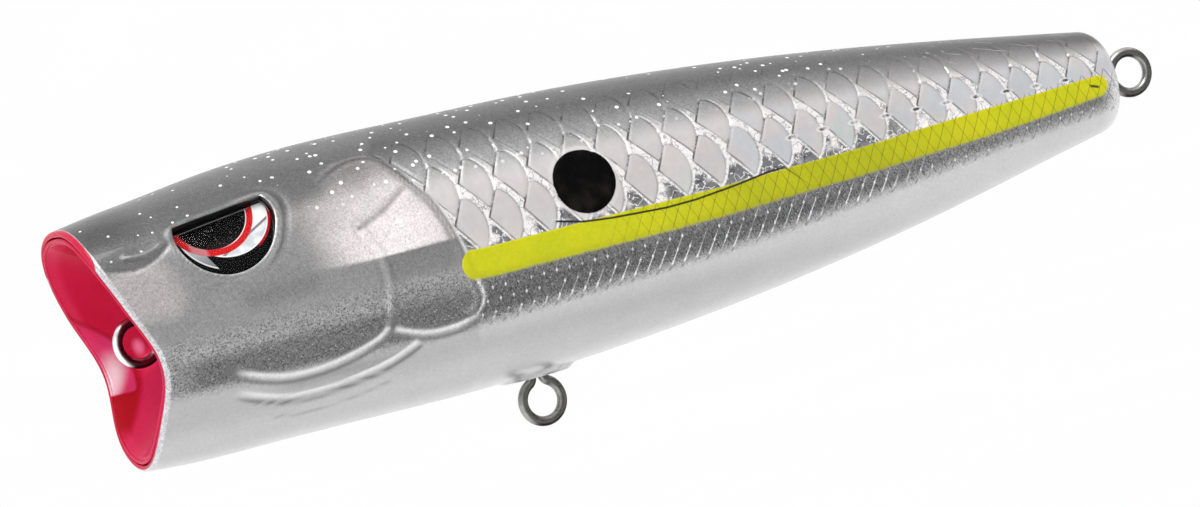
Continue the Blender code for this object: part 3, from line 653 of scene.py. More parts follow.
class Paint:
    """A material under construction; `colour` is its base colour so far."""

    def __init__(self, name):
        self.material = bpy.data.materials.new(name)
        self.material.use_nodes = True
        self.tree = self.material.node_tree
        self.shader = self.tree.nodes["Principled BSDF"]
        self.output = self.tree.nodes["Material Output"]
        self.coords = self.node("TexCoord").outputs["Object"]
        self.fields = {}
        self.colour = None

    def node(self, kind, inputs=None, **settings):
        return add_node(self.tree, kind, inputs, **settings)

    def attribute(self, name):
        if name not in self.fields:
            node = self.node("Attribute", attribute_name=name)
            self.fields[name] = Value(node.outputs["Fac"])
        return self.fields[name]

    def attributes(self, names):
        return [self.attribute(name) for name in names.split()]

    def noise(self, per_mm, detail=3.0, roughness=0.5, stretch=None):
        source = self.coords
        if stretch:
            mapping = self.node("Mapping", {"Scale": stretch, "Vector": source})
            source = mapping.outputs["Vector"]
        inputs = {"Scale": per_mm / MM, "Detail": detail, "Roughness": roughness, "Vector": source}
        return Value(self.node("TexNoise", inputs).outputs[0])

    def cells(self, per_mm):
        node = self.node("TexVoronoi", {"Scale": per_mm / MM, "Vector": self.coords})
        split = self.node("SeparateColor", {0: node.outputs["Color"]})
        return Cells(*map(Value, (node.outputs["Distance"], split.outputs[0], split.outputs[1])))

    def turned_to(self, direction):
        """How far the surface is turned towards a fixed direction, from -1 to 1."""
        normal = self.node("NewGeometry").outputs["Normal"]
        node = self.node("VectorMath", {0: normal, 1: direction}, operation="DOT_PRODUCT")
        return Value(node.outputs["Value"])

    def mix(self, share, first, second):
        return self.node("Mix", {0: share, 6: first, 7: second}, data_type="RGBA").outputs[2]

    def scale(self, colour, factor):
        inputs = {0: colour, "Scale": factor}
        return self.node("VectorMath", inputs, operation="SCALE").outputs[0]

    def over(self, amount, colour):
        """Lays another colour over the base colour."""
        self.colour = self.mix(amount, self.colour, colour)

    def shade(self, factor):
        self.colour = self.scale(self.colour, factor)

    def surface(self, settings):
        """Sets the base colour and the given inputs of the shader."""
        for name, item in {"Base Color": self.colour, **settings}.items():
            feed(self.shader.inputs[name], item)

    def bump(self, height, distance_mm, strength, normal="Normal"):
        inputs = {"Distance": distance_mm * MM, "Strength": strength, "Height": height}
        feed(self.shader.inputs[normal], self.node("Bump", inputs).outputs[0])


# ---------------------------------------------------------------- tone of the shells, with painted highlights and shade (sRGB grey, 0 to 1)
def body_tone(y, arc, degrees):
    """Behind the gill: flank and back banded by paint and by a painted highlight, dark flake band, pale
    belly.
    """
    low = arc - np.interp(y, *FLAKE_EDGE)
    under = lerp(0.45, 0.37, smooth(-1.8, -3.2, arc))
    under = lerp(under, 0.46, smooth(50, 74, y) * 0.85)
    belly = 0.765 - 0.035 * bell(arc + 8.0, 2.2)
    belly = belly - 0.05 * smooth(62, 40, y) * bell(arc + 6.8, 1.2)
    under = lerp(belly, under, smooth(-0.75, 0.75, low))
    centre, half = np.interp(y, *STRIPE_CENTRE), np.interp(y, *STRIPE_HALF)
    above = smooth(-0.25, 0.15, arc - centre - 0.2 * half)
    return lerp(under, np.interp(degrees, *BODY_TONES), above)


def head_tone(y, arc):
    """Ahead of the gill, and the shares of the two painted highlights, on the snout and on the cheek."""
    low = arc - np.interp(y, *FLAKE_EDGE)
    crown = arc - np.interp(y, *CROWN_EDGE)
    head = lerp(0.565, 0.40, smooth(-0.7, 0.8, crown))
    head = lerp(head, 0.46, smooth(9.0, 12.0, arc) * 0.6)
    head = head - 0.07 * smooth(4.5, 1.0, y) * smooth(-0.3, 1.0, crown)
    under_eye = bell(arc - 0.8, 0.75) * smooth(8.0, 9.6, y) * smooth(15.5, 13.0, y)
    head = lerp(head, 0.485, under_eye * 0.7)
    # painted highlights: bright patches on the snout and on the cheek
    snout = smooth(5.8, 3.6, y + 0.25 * np.abs(arc - 2.4))
    snout = snout * smooth(0.2, 1.9, arc) * smooth(5.2, 4.4, arc)
    head = lerp(head, 0.73, snout * 0.85)
    cheek = smooth(12.8, 17.0, y + 0.30 * (arc - 2.0)) * smooth(1.6, -0.6, crown)
    cheek = cheek * smooth(-0.12, 0.14, arc - np.interp(y, *CHEEK_FLOOR))
    dim = lerp(np.interp(arc, *CHEEK_DIM), 1.0, 0.15 * smooth(19, 24, y))
    head = lerp(head, np.interp(y, *CHEEK_SHINE) * dim, cheek)
    # squarish grey field below the cheek's painted highlight, then the dark band
    square = smooth(18.6, 19.1, y) * smooth(1.4, 1.2, arc)
    head = lerp(head, lerp(0.50, 0.57, bell(arc + 1.1, 0.55)), square * 0.9)
    dark = smooth(-1.9, -3.0, arc) * smooth(-0.5, 0.4, low - 0.1)
    head = lerp(head, 0.40, dark * smooth(1.5, 5.0, y))
    head = lerp(head, 0.52, dark * smooth(5.0, 1.5, y))
    throat = lerp(0.68, 0.74, smooth(-6.5, -9.0, arc))
    shadow = bell(arc + 5.9, 0.5) * smooth(9.0, 12.0, y) * smooth(21.0, 18.5, y)
    throat = lerp(throat, 0.60, shadow)
    return lerp(throat, head, smooth(-0.75, 0.35, low)), snout, cheek


def lines_and_painted_light(tone, y, arc):
    """Painted highlights on groove floors over painted shadow lines, gill edge with painted shade and
    highlight, the same on the cheek fold, cheek and snout lines.
    """
    for points, _, _, shine, width, dark in GROOVES:
        distance, above, share = line_distance(y, arc, points)
        fade = taper(share, 0.14, 0.94)
        # painted highlight along the groove floor, and a painted shadow line below it
        tone = lerp(tone, shine, bell(distance, width) * fade)
        tone = lerp(tone, 0.42, bell(distance - 0.47, 0.14) * (above < 0) * fade * dark)
    distance, _, share = line_distance(y, arc, GILL)
    ends = taper(share, 0.12, 0.97)
    past = np.where(y < gill_y(arc), -distance, distance)
    # gill edge: a lighter line on the plate, painted shade at the step, a painted highlight behind it
    tone = lerp(tone, 0.56, bell(past + 0.34, 0.20) * ends * 0.75)
    dark = 0.55 + 0.42 * smooth(4.5, 7.0, arc)
    tone = lerp(tone, 0.36, bell(past - 0.02, 0.13) * ends * dark)
    tone = lerp(tone, 0.92, bell(past - 0.34, 0.17) * ends * smooth(7.0, 5.0, arc) * 0.85)
    distance = line_distance(y, arc, CHEEK_SCRATCH)[0]
    tone = lerp(tone, 0.56, bell(distance, 0.26) * 0.6)
    tone = lerp(tone, 0.30, bell(np.hypot(y - 18.1, arc - 3.72), 0.17) * 0.8)
    # painted highlight along the raised cheek fold, painted shade beside it
    distance = line_distance(y, arc, CHEEK_FOLD)[0]
    tone = lerp(tone, np.minimum(tone + 0.13, 0.96), bell(distance, 0.26) * 0.8)
    tone = lerp(tone, tone * 0.86, bell(distance - 0.45, 0.14) * 0.6)
    distance, above, _ = line_distance(y, arc, SNOUT_CREASE)
    tone = lerp(tone, 0.38, bell(distance - 0.10, 0.16) * (above > 0) * 0.55)
    distance, _, share = line_distance(y, arc, NOSTRIL)
    return lerp(tone, 0.56, bell(distance, 0.20) * taper(share, 0.3, 0.8) * 0.6)


def eye_rim_light_and_shade(tone, edge, along, up):
    """Painted highlights on the ridge round the eye, above the brow and along the socket's lower edge,
    with thin lines of painted shade beside the ridge and at the socket's nose side.
    """
    tone = lerp(tone, 0.66, bell(edge - 0.32, 0.14) * smooth(0.8, 2.8, along) * 0.85)
    tone = lerp(tone, 0.30, bell(edge - 0.62, 0.12) * smooth(1.2, 3.0, along) * 0.5)
    tone = lerp(tone, 0.34, bell(edge - 0.10, 0.12) * smooth(0.5, -1.0, along) * 0.5)
    tone = lerp(tone, 0.62, bell(edge - 0.22, 0.10) * smooth(0.9, 1.6, up) * 0.5)
    return lerp(tone, 0.86, bell(edge - 0.05, 0.07) * smooth(0.6, -0.6, up) * 0.8)


def shell_tone(y, arc, degrees):
    """Tone of the paint with its painted highlights and shade, before flakes and pattern, with the shares
    of pink and of flake.
    """
    behind = smooth(-0.1, 0.15, y - gill_y(arc))
    low = arc - np.interp(y, *FLAKE_EDGE)
    head, snout, cheek = head_tone(y, arc)
    tone = lerp(head, body_tone(y, arc, degrees), behind)
    # painted highlight on the rounded tail end
    tone = lerp(tone, 0.84, smooth(77.6, 79.3, y) * smooth(52, 30, degrees))
    tone = lines_and_painted_light(tone, y, arc)
    # the pink share tints the painted highlights on the snout, the cheek and the upper flank
    flank = behind * smooth(1.5, 3.0, arc) * smooth(6.5, 4.5, arc)
    pink = np.clip(snout * (1 - behind) + cheek * (1 - behind) + flank * 0.45, 0, 1)
    under = arc - np.interp(y, *STRIPE_CENTRE)
    flake = smooth(-0.9, 0.5, low) * smooth(0.6, -0.6, under - 0.3)
    flake = flake * lerp(1.0, 0.65, smooth(60, 78, y))
    flake = flake * lerp(smooth(1.5, -2.4, arc) * 0.75 + 0.25, 1.0, behind)
    flake = np.maximum(flake, 0.30 * smooth(4.5, 7.0, arc))
    flake = np.maximum(flake, 0.28 * (1 - behind) * smooth(-5.5, -4.5, arc))
    for points, *_ in GROOVES[:3]:
        flake = flake * (1 - 0.9 * bell(line_distance(y, arc, points)[0], 0.42))
    return tone, pink, flake


def paint_attributes(mesh, side):
    """Stores the fields that drive the shell paint."""
    points = vertices_mm(mesh)
    x, y, z = np.abs(points[:, 0]), points[:, 1], points[:, 2]
    angle = angle_at(x, y, z)
    degrees = np.degrees(angle)
    arc = arc_at(np.clip(y, FIRST_Y, BODY_LENGTH), angle)
    tone, pink, flake = shell_tone(y, arc, degrees)
    edge, along, up, out = eye_distance(points[:, 0], y, z, side)
    tone = eye_rim_light_and_shade(tone, np.where(np.abs(out) < 4, edge, 9.0), along, up)
    # strength of the scale outlines, by edge
    scale, own, knot, kind, height = scales(y, arc)
    back = smooth(30.0, 46.0, degrees)
    bulge_ink = lerp(0.34, 0.80 * smooth(-2.2, -1.0, height), back)
    ink = np.where(kind == 0, 1.0, np.where(kind == 1, lerp(0.62, 0.12, back), bulge_ink))
    above, stripe = stripe_edges(y, arc)
    behind = smooth(0.1, 0.5, y - gill_y(arc)) * (1 - smooth(78.9, 79.6, y))
    lateral = arc - np.interp(y, *SIDE_LINE) + np.maximum(32.0 - y, 0) + np.maximum(y - 50.5, 0)
    # the red wraps over the rim on the upper lip, and covers the skin's inner face
    rim = y - rim_y(angle)
    reach = np.abs(z) / np.where(z > 0, TOP(y), BOTTOM(y))
    level = (x / HALF_WIDTH(y)) ** 2 + reach ** exponent(y, z > 0)
    within = (1 - np.sqrt(level)) * np.hypot(x, z)
    red = np.minimum(
        rim - 0.34 * smooth(5.0, 6.6, z) + 0.04 + 0.35 * smooth(5.4, 4.8, z),
        0.17 - within + 0.02 * z / 8 + np.where(rim > 2.0, 9, 0),
    )
    add_attributes(
        mesh, tone=linear(np.clip(tone, 0.02, 1.0)), pink=pink, flake=flake,
        scale=np.clip(scale, -2, 2), own=own, knot=np.minimum(knot, 2),
        zone=behind * smooth(-0.15, 0.05, above), yy=y, gg=arc, stripe=stripe,
        below=np.interp(y, *STRIPE_CENTRE) - arc,
        spot=np.hypot(y - SPOT_AT[0], arc - SPOT_AT[1]) - SPOT_R, lateral=lateral, rim=rim,
        red=red, behind=behind, netlow=arc - np.interp(y, *FLAKE_EDGE), up=degrees, ink=ink,
    )


# ---------------------------------------------------------------- paint of the shells
# In the paints, step() limits are in mm or degrees for fields and in noise levels for textures.
def flake_layer(mat, fine, coarse, haze):
    """Tinted tone with metal flake: grain, sparks and dark pits."""
    tone, pink, flake = mat.attributes("tone pink flake")
    cloud = mat.noise(0.45, detail=3.0, roughness=0.55)
    # the pink share tints the painted highlights
    mat.colour = mat.scale(mat.mix(pink, (1.0, 1.0, 1.0), (1.0, 0.925, 0.930)), tone)
    grain = (fine.tint * 0.68 + coarse.tint * 0.32 - 0.5) * (flake * 1.12 + 0.16)
    mat.shade(grain + 1.0 + (cloud - 0.5) * 0.14)
    spark = fine.pick.step(0.93, 0.98) * flake * fine.distance.step(0.5, 0.25)
    mat.over(spark * 0.6, rgb(235, 236, 238))
    mat.over(fine.pick.step(0.10, 0.03) * flake * 0.6, rgb(48, 49, 51))


def scale_faces(mat, haze):
    """Pearl scales with cracked silver between; returns how far they fade near the tail."""
    scale, own, zone, up, y, arc = mat.attributes("scale own zone up yy gg")
    flank = up.step(50.0, 30.0)
    face = zone * scale.step(0.02, -0.06) * flank
    hue = mat.noise(0.33, detail=2.0)
    pearl = mat.mix(hue.step(0.38, 0.62), rgb(216, 208, 207), rgb(205, 207, 212))
    green = mat.noise(0.21, detail=1.0).step(0.55, 0.7)
    pearl = mat.mix(green * 0.5, pearl, rgb(202, 210, 204))
    pearl = mat.mix(y.step(48.0, 38.0) * 0.6, pearl, rgb(218, 211, 208))
    pearl = mat.scale(pearl, own * 0.08 + 0.92 + (haze - 0.5) * 0.24)
    calm = 1.0 - y.step(54.0, 64.0) * arc.step(3.0, 4.3) * 0.7
    mat.over(face * (up.step(40.0, 22.0) * 0.85) * calm, pearl)
    wide_crack = abs(mat.noise(1.3, detail=2.0) - 0.5).step(0.030, 0.008)
    fine_crack = abs(mat.noise(2.3, detail=2.0) - 0.5).step(0.020, 0.006)
    crack = wide_crack.max(fine_crack * 0.7)
    gap = zone * scale.step(0.0, 0.06) * flank
    silver = mat.scale(rgb(252, 248, 248), (haze - 0.5) * 0.38 + 0.99)
    silver = mat.mix(crack * 0.6, silver, rgb(96, 94, 94))
    mat.over(gap * (up.step(44.0, 22.0) * 0.90 + 0.05) * calm, silver)
    return calm


def foil_folds(mat):
    """Creased foil between the lowest scales and the stripe."""
    scale, zone, below, behind, y = mat.attributes("scale zone below behind yy")
    fold = zone * scale.step(0.17, 0.27) * below.step(-2.55, -2.15) * behind * y.step(66.0, 58.0)
    fold = fold * mat.noise(0.5, detail=1.0).step(0.36, 0.46)
    crinkle = abs(mat.noise(1.5, detail=2.0) - 0.5).step(0.026, 0.010)
    foil = mat.mix(crinkle, rgb(98, 99, 102), rgb(238, 238, 240))
    dark = abs(mat.noise(0.9, detail=1.0) - 0.48).step(0.03, 0.012)
    mat.over(fold * 0.9, mat.mix(dark, foil, rgb(52, 52, 55)))


def scale_outlines(mat, calm):
    """Broken dark outlines of varying width, with glints just outside them."""
    scale, zone, up, ink = mat.attributes("scale zone up ink")
    width = mat.noise(0.9, detail=2.0) * 0.09 + 0.035
    line = zone * ((abs(scale) - width) * -1.0).step(-0.025, 0.03)
    breaks = mat.noise(0.8, detail=2.0).step(0.38, 0.54) * 0.75 + 0.25
    top_end = (up.step(72.0, 44.0) * 0.85 + 0.15) * up.step(76.0, 66.0)
    mat.over(line * (ink * 0.84) * breaks * top_end * calm, rgb(58, 56, 56))
    glint = zone * abs(scale - 0.12).step(0.06, 0.02) * up.step(50.0, 36.0)
    mat.over(glint * mat.noise(0.7, detail=1.0).step(0.5, 0.62) * 0.55, rgb(240, 240, 240))


def fine_net(mat):
    """Net of slanting lines below the stripe; returns both line sets and their knots."""
    y, arc, behind, below, netlow = mat.attributes("yy gg behind below netlow")
    net = behind * below.step(-1.25, -0.95) * netlow.step(-0.5, 0.15)
    rise = (y + arc * 0.55).math("PINGPONG", 0.5)
    fall = (y - arc * 0.55).math("PINGPONG", 0.5)
    rise_line, fall_line = rise.step(0.060, 0.020), fall.step(0.060, 0.020)
    mat.over((rise_line + fall_line).min(1.0) * net * 0.60, rgb(40, 40, 42))
    # pale dashes along the lower edge, then pale streaks higher up
    patchy = mat.noise(0.9, detail=2.0).step(0.36, 0.56)
    dash = behind * (fall * (netlow.max(0.0) * 0.75 + 0.65)).step(0.075, 0.025)
    dash = dash * netlow.step(-0.20, 0.05) * netlow.step(1.7, 1.1) * (patchy * 0.7 + 0.3)
    short = netlow.step(0.35, 0.15) * y.step(36.0, 30.0) * 0.7
    dash = dash * (y.step(66.0, 57.0) * y.step(27.0, 38.0) + short)
    mat.over(dash * 0.76, rgb(236, 237, 240))
    streak = net * fall.step(0.045, 0.015) * netlow.step(0.9, 1.6)
    streak = streak * mat.noise(1.2, detail=2.0).step(0.46, 0.60)
    streak = streak * y.step(36.0, 42.0) * y.step(70.0, 62.0)
    mat.over(streak * 0.6, rgb(226, 226, 230))
    # bright knots at the crossings and a row of grey pits under the net
    knots = net * (rise.max(fall)).step(0.13, 0.06) * below.step(1.0, 1.4)
    mat.over(knots * (patchy * 0.6 + 0.15), rgb(236, 236, 240))
    pits = behind * netlow.step(-0.55, -0.40) * netlow.step(-0.15, -0.30)
    mat.over(pits * fall.step(0.16, 0.07) * patchy * 0.55, rgb(96, 98, 100))
    return rise_line, fall_line, knots


def lime_stripe(mat, fine, coarse, rise_line, fall_line, knots):
    """Chartreuse stripe, crisp above and sprayed below, ending in a dark tick; returns it."""
    stripe, below, y, arc = mat.attributes("stripe below yy gg")
    spray = (fine.tint - 0.5) * 0.12 + (coarse.tint - 0.5) * 0.06
    crisp = stripe.step(0.045, -0.035)
    soft = (stripe + spray).step(0.15, -0.13)
    lower = below.step(0.2, 0.7)
    band = crisp * (1.0 - lower) + soft * lower
    blotch = mat.noise(0.25, detail=3.0).step(0.35, 0.65)
    lime = mat.mix(blotch, rgb(200, 198, 8), rgb(190, 193, 6))
    lime = mat.mix(below.step(0.35, 1.0) * 0.45, lime, rgb(170, 170, 6))
    upper_edge = stripe.step(-0.16, -0.02) * (1.0 - lower)
    lime = mat.mix(upper_edge * 0.5, lime, rgb(222, 208, 8))
    dim = y.step(40.0, 48.0) * y.step(68.0, 58.0) * 0.17
    lime = mat.scale(lime, (coarse.tint - 0.5) * 0.08 + 1.0 - dim)
    # the net shows through behind its onset
    onset = y.step(33.0, 42.0)
    net = (rise_line * 0.55 + fall_line * 0.75).min(1.0)
    lime = mat.mix(net * onset * 0.72, lime, rgb(104, 92, 8))
    lime = mat.mix(knots * onset * 0.9, lime, rgb(246, 214, 30))
    mat.over(band, lime)
    tick = abs(arc + y * 0.33 - 25.33).step(0.13, 0.06)
    mat.over(tick * y.step(76.95, 77.10) * y.step(77.85, 77.65) * 0.9, rgb(22, 20, 14))
    return band


def spot_and_side_line(mat, haze, band):
    """Black spot with a pale edge, knots of the lowest scales, dark side line; returns the spot."""
    spot, behind, zone, knot, y = mat.attributes("spot behind zone knot yy")
    lateral, below = mat.attributes("lateral below")
    halo = spot.step(0.42, 0.22) * spot.step(-0.02, 0.05) * behind
    mat.over(halo * 0.55 * (1.0 - band), rgb(226, 222, 222))
    disc = (spot + (haze - 0.5) * 0.05).step(0.035, -0.035)
    # painted brown glints on the black spot
    brown_glint = mat.noise(0.6, detail=2.0).step(0.45, 0.7)
    mat.over(disc, mat.mix(brown_glint, rgb(4, 4, 4), rgb(26, 22, 21)))
    tie = zone * y.step(47.0, 52.0) * y.step(77.0, 75.0)
    mat.over(tie * abs(knot - 0.48).step(0.16, 0.05) * 0.55, rgb(244, 244, 244))
    uneven = mat.noise(0.8, detail=1.0).step(0.40, 0.5) * 0.6 + 0.3
    mat.over(tie * knot.step(0.36, 0.22) * uneven, rgb(20, 19, 19))
    thread = abs(lateral).step(0.105, 0.045) * behind * y.step(53.0, 49.5) * y.step(32.05, 32.35)
    mat.over(thread * 0.95, rgb(16, 15, 10))
    shine = abs(lateral - 0.17).step(0.06, 0.02) * behind * below.step(-1.0, -1.2)
    mat.over(shine * mat.noise(0.8, detail=1.0).step(0.45, 0.6) * 0.5, rgb(235, 235, 235))
    return disc


def back_glitter(mat):
    """Glitter on the back and scuffs near the tail; returns the glitter."""
    y, arc = mat.attributes("yy gg")
    dots = mat.cells(1.3)
    crowd = mat.noise(0.14, detail=1.0).step(0.36, 0.62) * 0.45
    shown = (dots.tint + crowd + y.step(3.0, 14.0) * 0.30 - 0.08).step(0.84, 0.86)
    shown = shown * arc.step(4.8, 7.0) * y.step(76.0, 50.0)
    glitter = (dots.distance + y.step(15.0, 4.0) * 0.06).step(0.215, 0.165) * shown
    mat.over(glitter, rgb(252, 252, 252))
    scuff = abs((y * 0.45 + arc * 0.9).math("PINGPONG", 0.5)).step(0.03, 0.0)
    scuff = scuff * y.step(62.0, 68.0) * arc.step(3.6, 4.8)
    mat.over(scuff * mat.noise(0.6, detail=1.0).step(0.52, 0.60) * 0.7, rgb(232, 232, 232))
    return glitter


def lip_paint(mat, fine, coarse, haze):
    """Silver lip edge and the red that wraps over the upper lip; returns the red."""
    rim, red = mat.attributes("rim red")
    grain = (fine.tint - 0.5) * 0.55 + (coarse.tint - 0.5) * 0.25 + 1.0
    mat.over(rim.step(0.42, 0.30) * 0.75, mat.scale(rgb(208, 208, 211), grain))
    lip = (red + (haze - 0.5) * 0.06).step(0.035, -0.035)
    mat.over(lip, mat.scale(rgb(196, 24, 62), (haze - 0.5) * 0.2 + 1.0))
    return lip


def shell_paint():
    mat = Paint("painted_shell")
    fine, coarse = mat.cells(11.0), mat.cells(6.0)
    haze = mat.noise(1.6, detail=4.0, roughness=0.6)
    flake_layer(mat, fine, coarse, haze)
    calm = scale_faces(mat, haze)
    foil_folds(mat)
    scale_outlines(mat, calm)
    net = fine_net(mat)
    band = lime_stripe(mat, fine, coarse, *net)
    disc = spot_and_side_line(mat, haze, band)
    glitter = back_glitter(mat)
    lip = lip_paint(mat, fine, coarse, haze)
    plain = (band.max(disc)).max(lip).max(glitter)  # where the paint is not metallic
    flake = mat.attribute("flake")
    mat.surface({
        "Specular IOR Level": 0.25 - plain * 0.2 - disc * 0.04,
        "Metallic": (1.0 - plain) * 0.62,
        "Roughness": (fine.tint - 0.5) * 0.16 * flake + 0.33 + (haze - 0.5) * 0.08,
        "Coat Weight": 0.35 - disc * 0.28,
        "Coat Roughness": 0.035,
        "Coat IOR": 1.5,
    })
    mat.bump(fine.tint * flake * 0.6 + haze * 0.4, distance_mm=0.008, strength=0.4)
    waves = mat.noise(0.9, detail=2.0)
    mat.bump(waves, distance_mm=0.004, strength=0.35, normal="Coat Normal")
    return mat.material


def socket_paint():
    mat = Paint("socket_black")
    wear = mat.noise(2.0, detail=4.0)
    # black paint on the socket wall, standing in also for the shade inside the socket
    mat.colour = mat.mix(wear, rgb(10, 10, 11), rgb(30, 30, 32))
    mat.surface({"Roughness": wear * 0.2 + 0.25, "Coat Weight": 0.6})
    mat.bump(wear, distance_mm=0.02, strength=0.4)
    return mat.material


# ---------------------------------------------------------------- shells
def half_ring(y, rows, inset=0.0):
    y = np.broadcast_to(np.asarray(y, float), rows.shape)
    x, z = section(y, rows, inset)
    return np.stack([x, y, z], -1)


def shell_rings(rows):
    """Half sections from the lip over the skin to the tail and back inside, and the skin's slice."""
    rim = rim_y(rows)
    rings = []
    for k in range(8):  # rolled lip edge
        turn = math.radians(-90 + 180 * k / 8)
        ahead, inset = LIP_ROLL - LIP_ROLL * math.cos(turn), LIP_ROLL - LIP_ROLL * math.sin(turn)
        rings.append(half_ring(rim + ahead, rows, inset))
    first = len(rings)
    for k in range(36):  # from the lip's shape to flat sections
        rings.append(half_ring(rim + LIP_ROLL + (6.0 - rim - LIP_ROLL) * k / 36, rows))
    corner_y = BODY_LENGTH - TAIL_CORNER
    for y in (*np.arange(6.0, 24.0, 0.18), *np.arange(24.0, corner_y, 0.1455)):
        rings.append(half_ring(y, rows))
    skin = slice(first, len(rings))
    for k in range(11):  # tail corner
        turn = math.radians(9 * k)
        y, inset = corner_y + TAIL_CORNER * math.sin(turn), TAIL_CORNER * (1 - math.cos(turn))
        rings.append(half_ring(y, rows, inset))
    # tail end with its slot for the wire
    last = rings[-1]
    end_y = np.full_like(rows, BODY_LENGTH)
    hole = np.stack([0.30 * np.cos(rows), end_y, 0.65 * np.sin(rows)], -1)
    rings += [lerp(last, hole, k / 5) for k in range(1, 6)]
    rings.append(hole - np.array((0, WALL, 0)))
    # inner face and the rebate behind the lip
    rings.append(half_ring(BODY_LENGTH - WALL - 0.02, rows, WALL + 0.35))
    rings += [half_ring(y, rows, WALL) for y in np.linspace(76.0, 8.0, 12)]
    rings.append(half_ring(rim + REBATE_LENGTH, rows, WALL))
    rings.append(half_ring(rim + REBATE_LENGTH, rows, REBATE_WALL))
    rings.append(half_ring(rim + 1.4, rows, REBATE_WALL))
    return np.stack(rings), skin


def raise_skin(skin, rows):
    """The skin moved out by its relief, and flattened to the pad round the belly wire."""
    normal = np.cross(np.gradient(skin, axis=1), np.gradient(skin, axis=0))
    normal /= np.linalg.norm(normal, axis=2, keepdims=True)
    if normal[0, len(rows) // 2, 0] < 0:
        normal = -normal
    normal[:, 0, 0] = normal[:, -1, 0] = 0.0  # the seam stays in its plane
    x, y, z = skin[..., 0], skin[..., 1], skin[..., 2]
    arc = arc_at(y, np.broadcast_to(rows, x.shape))
    skin = skin + normal * relief(x, y, z, arc)[..., None]
    along = (skin[..., 1] - BELLY_RING[0]) / (PAD_LENGTH / 2)
    out = np.hypot(along, skin[..., 0] / (PAD_WIDTH / 2)) - 1
    z = skin[..., 2]
    share = smooth(0.28, 0.0, out) * (z < 0)
    flat = np.minimum(z, lerp(z, PAD_BOTTOM_Z, share))
    skin[..., 2] = np.where(share > 0, flat, z)
    return skin


def half_shell(name, side, materials):
    rows = np.radians(np.concatenate([
        np.linspace(-90, -41, 24, endpoint=False),
        np.linspace(-41, 72, 132, endpoint=False),
        np.linspace(72, 90, 13),
    ]))
    points, skin = shell_rings(rows)
    points[skin] = raise_skin(points[skin], rows)
    points[..., 0] += SEAM
    points[..., 0] *= side
    # the last ring joins the first; two flat faces close the seam
    index = np.arange(points.shape[0] * points.shape[1]).reshape(points.shape[:2])
    after = np.roll(index, -1, axis=0)
    quads = np.stack([index[:, :-1], index[:, 1:], after[:, 1:], after[:, :-1]], -1)
    faces = [tuple(quad) for quad in quads.reshape(-1, 4).tolist()]
    faces.append(tuple(index[::-1, 0].tolist()))
    faces.append(tuple(index[:, -1].tolist()))
    obj = mesh_object(name, points, faces, materials, None)
    cut_socket(obj, side)
    paint_attributes(obj.data, side)
    obj.data.shade_smooth()
    obj.data.set_sharp_from_angle(angle=math.radians(52))
    return obj


def eye_stack(name, side, shrink, levels, materials, smooth_angle=40.0):
    """A stack of eye outlines at the given (height, scale) levels above the eye's plane."""
    axes, centre = eye_frame(side)
    middle = np.array((0.0, -0.6))
    outline = eye_outline(shrink)
    rings = []
    for height, scale in levels:
        flat = middle + (outline - middle) * scale
        local = np.column_stack([flat, np.full(len(flat), height)])
        rings.append(local @ axes.T + centre)
    faces = ring_faces(len(rings), len(outline))
    obj = mesh_object(name, np.concatenate(rings), faces, materials, smooth_angle)
    points = vertices_mm(obj.data) - centre
    add_attributes(obj.data, u=points @ axes[:, 0], v=points @ axes[:, 1], w=points @ axes[:, 2])
    return obj


def cut_socket(obj, side):
    """Cuts the eye socket; its walls take the second material."""
    levels = ((-SOCKET_DEPTH, 1.0), (4.0, 1.0))
    materials = list(obj.data.materials)
    cutter = eye_stack(f"socket_cutter_{side}", side, 0.0, levels, materials, None)
    second = np.ones(len(cutter.data.polygons), np.int32)
    cutter.data.polygons.foreach_set("material_index", second)
    cut = obj.modifiers.new("socket", "BOOLEAN")
    cut.operation = "DIFFERENCE"
    cut.solver = "EXACT"
    cut.object = cutter
    cut.material_mode = "INDEX"
    graph = bpy.context.evaluated_depsgraph_get()
    graph.update()
    made = bpy.data.meshes.new_from_object(obj.evaluated_get(graph))
    obj.modifiers.clear()
    old = obj.data
    made.name = old.name
    obj.data = made
    bpy.data.meshes.remove(old)
    bpy.data.objects.remove(cutter, do_unlink=True)


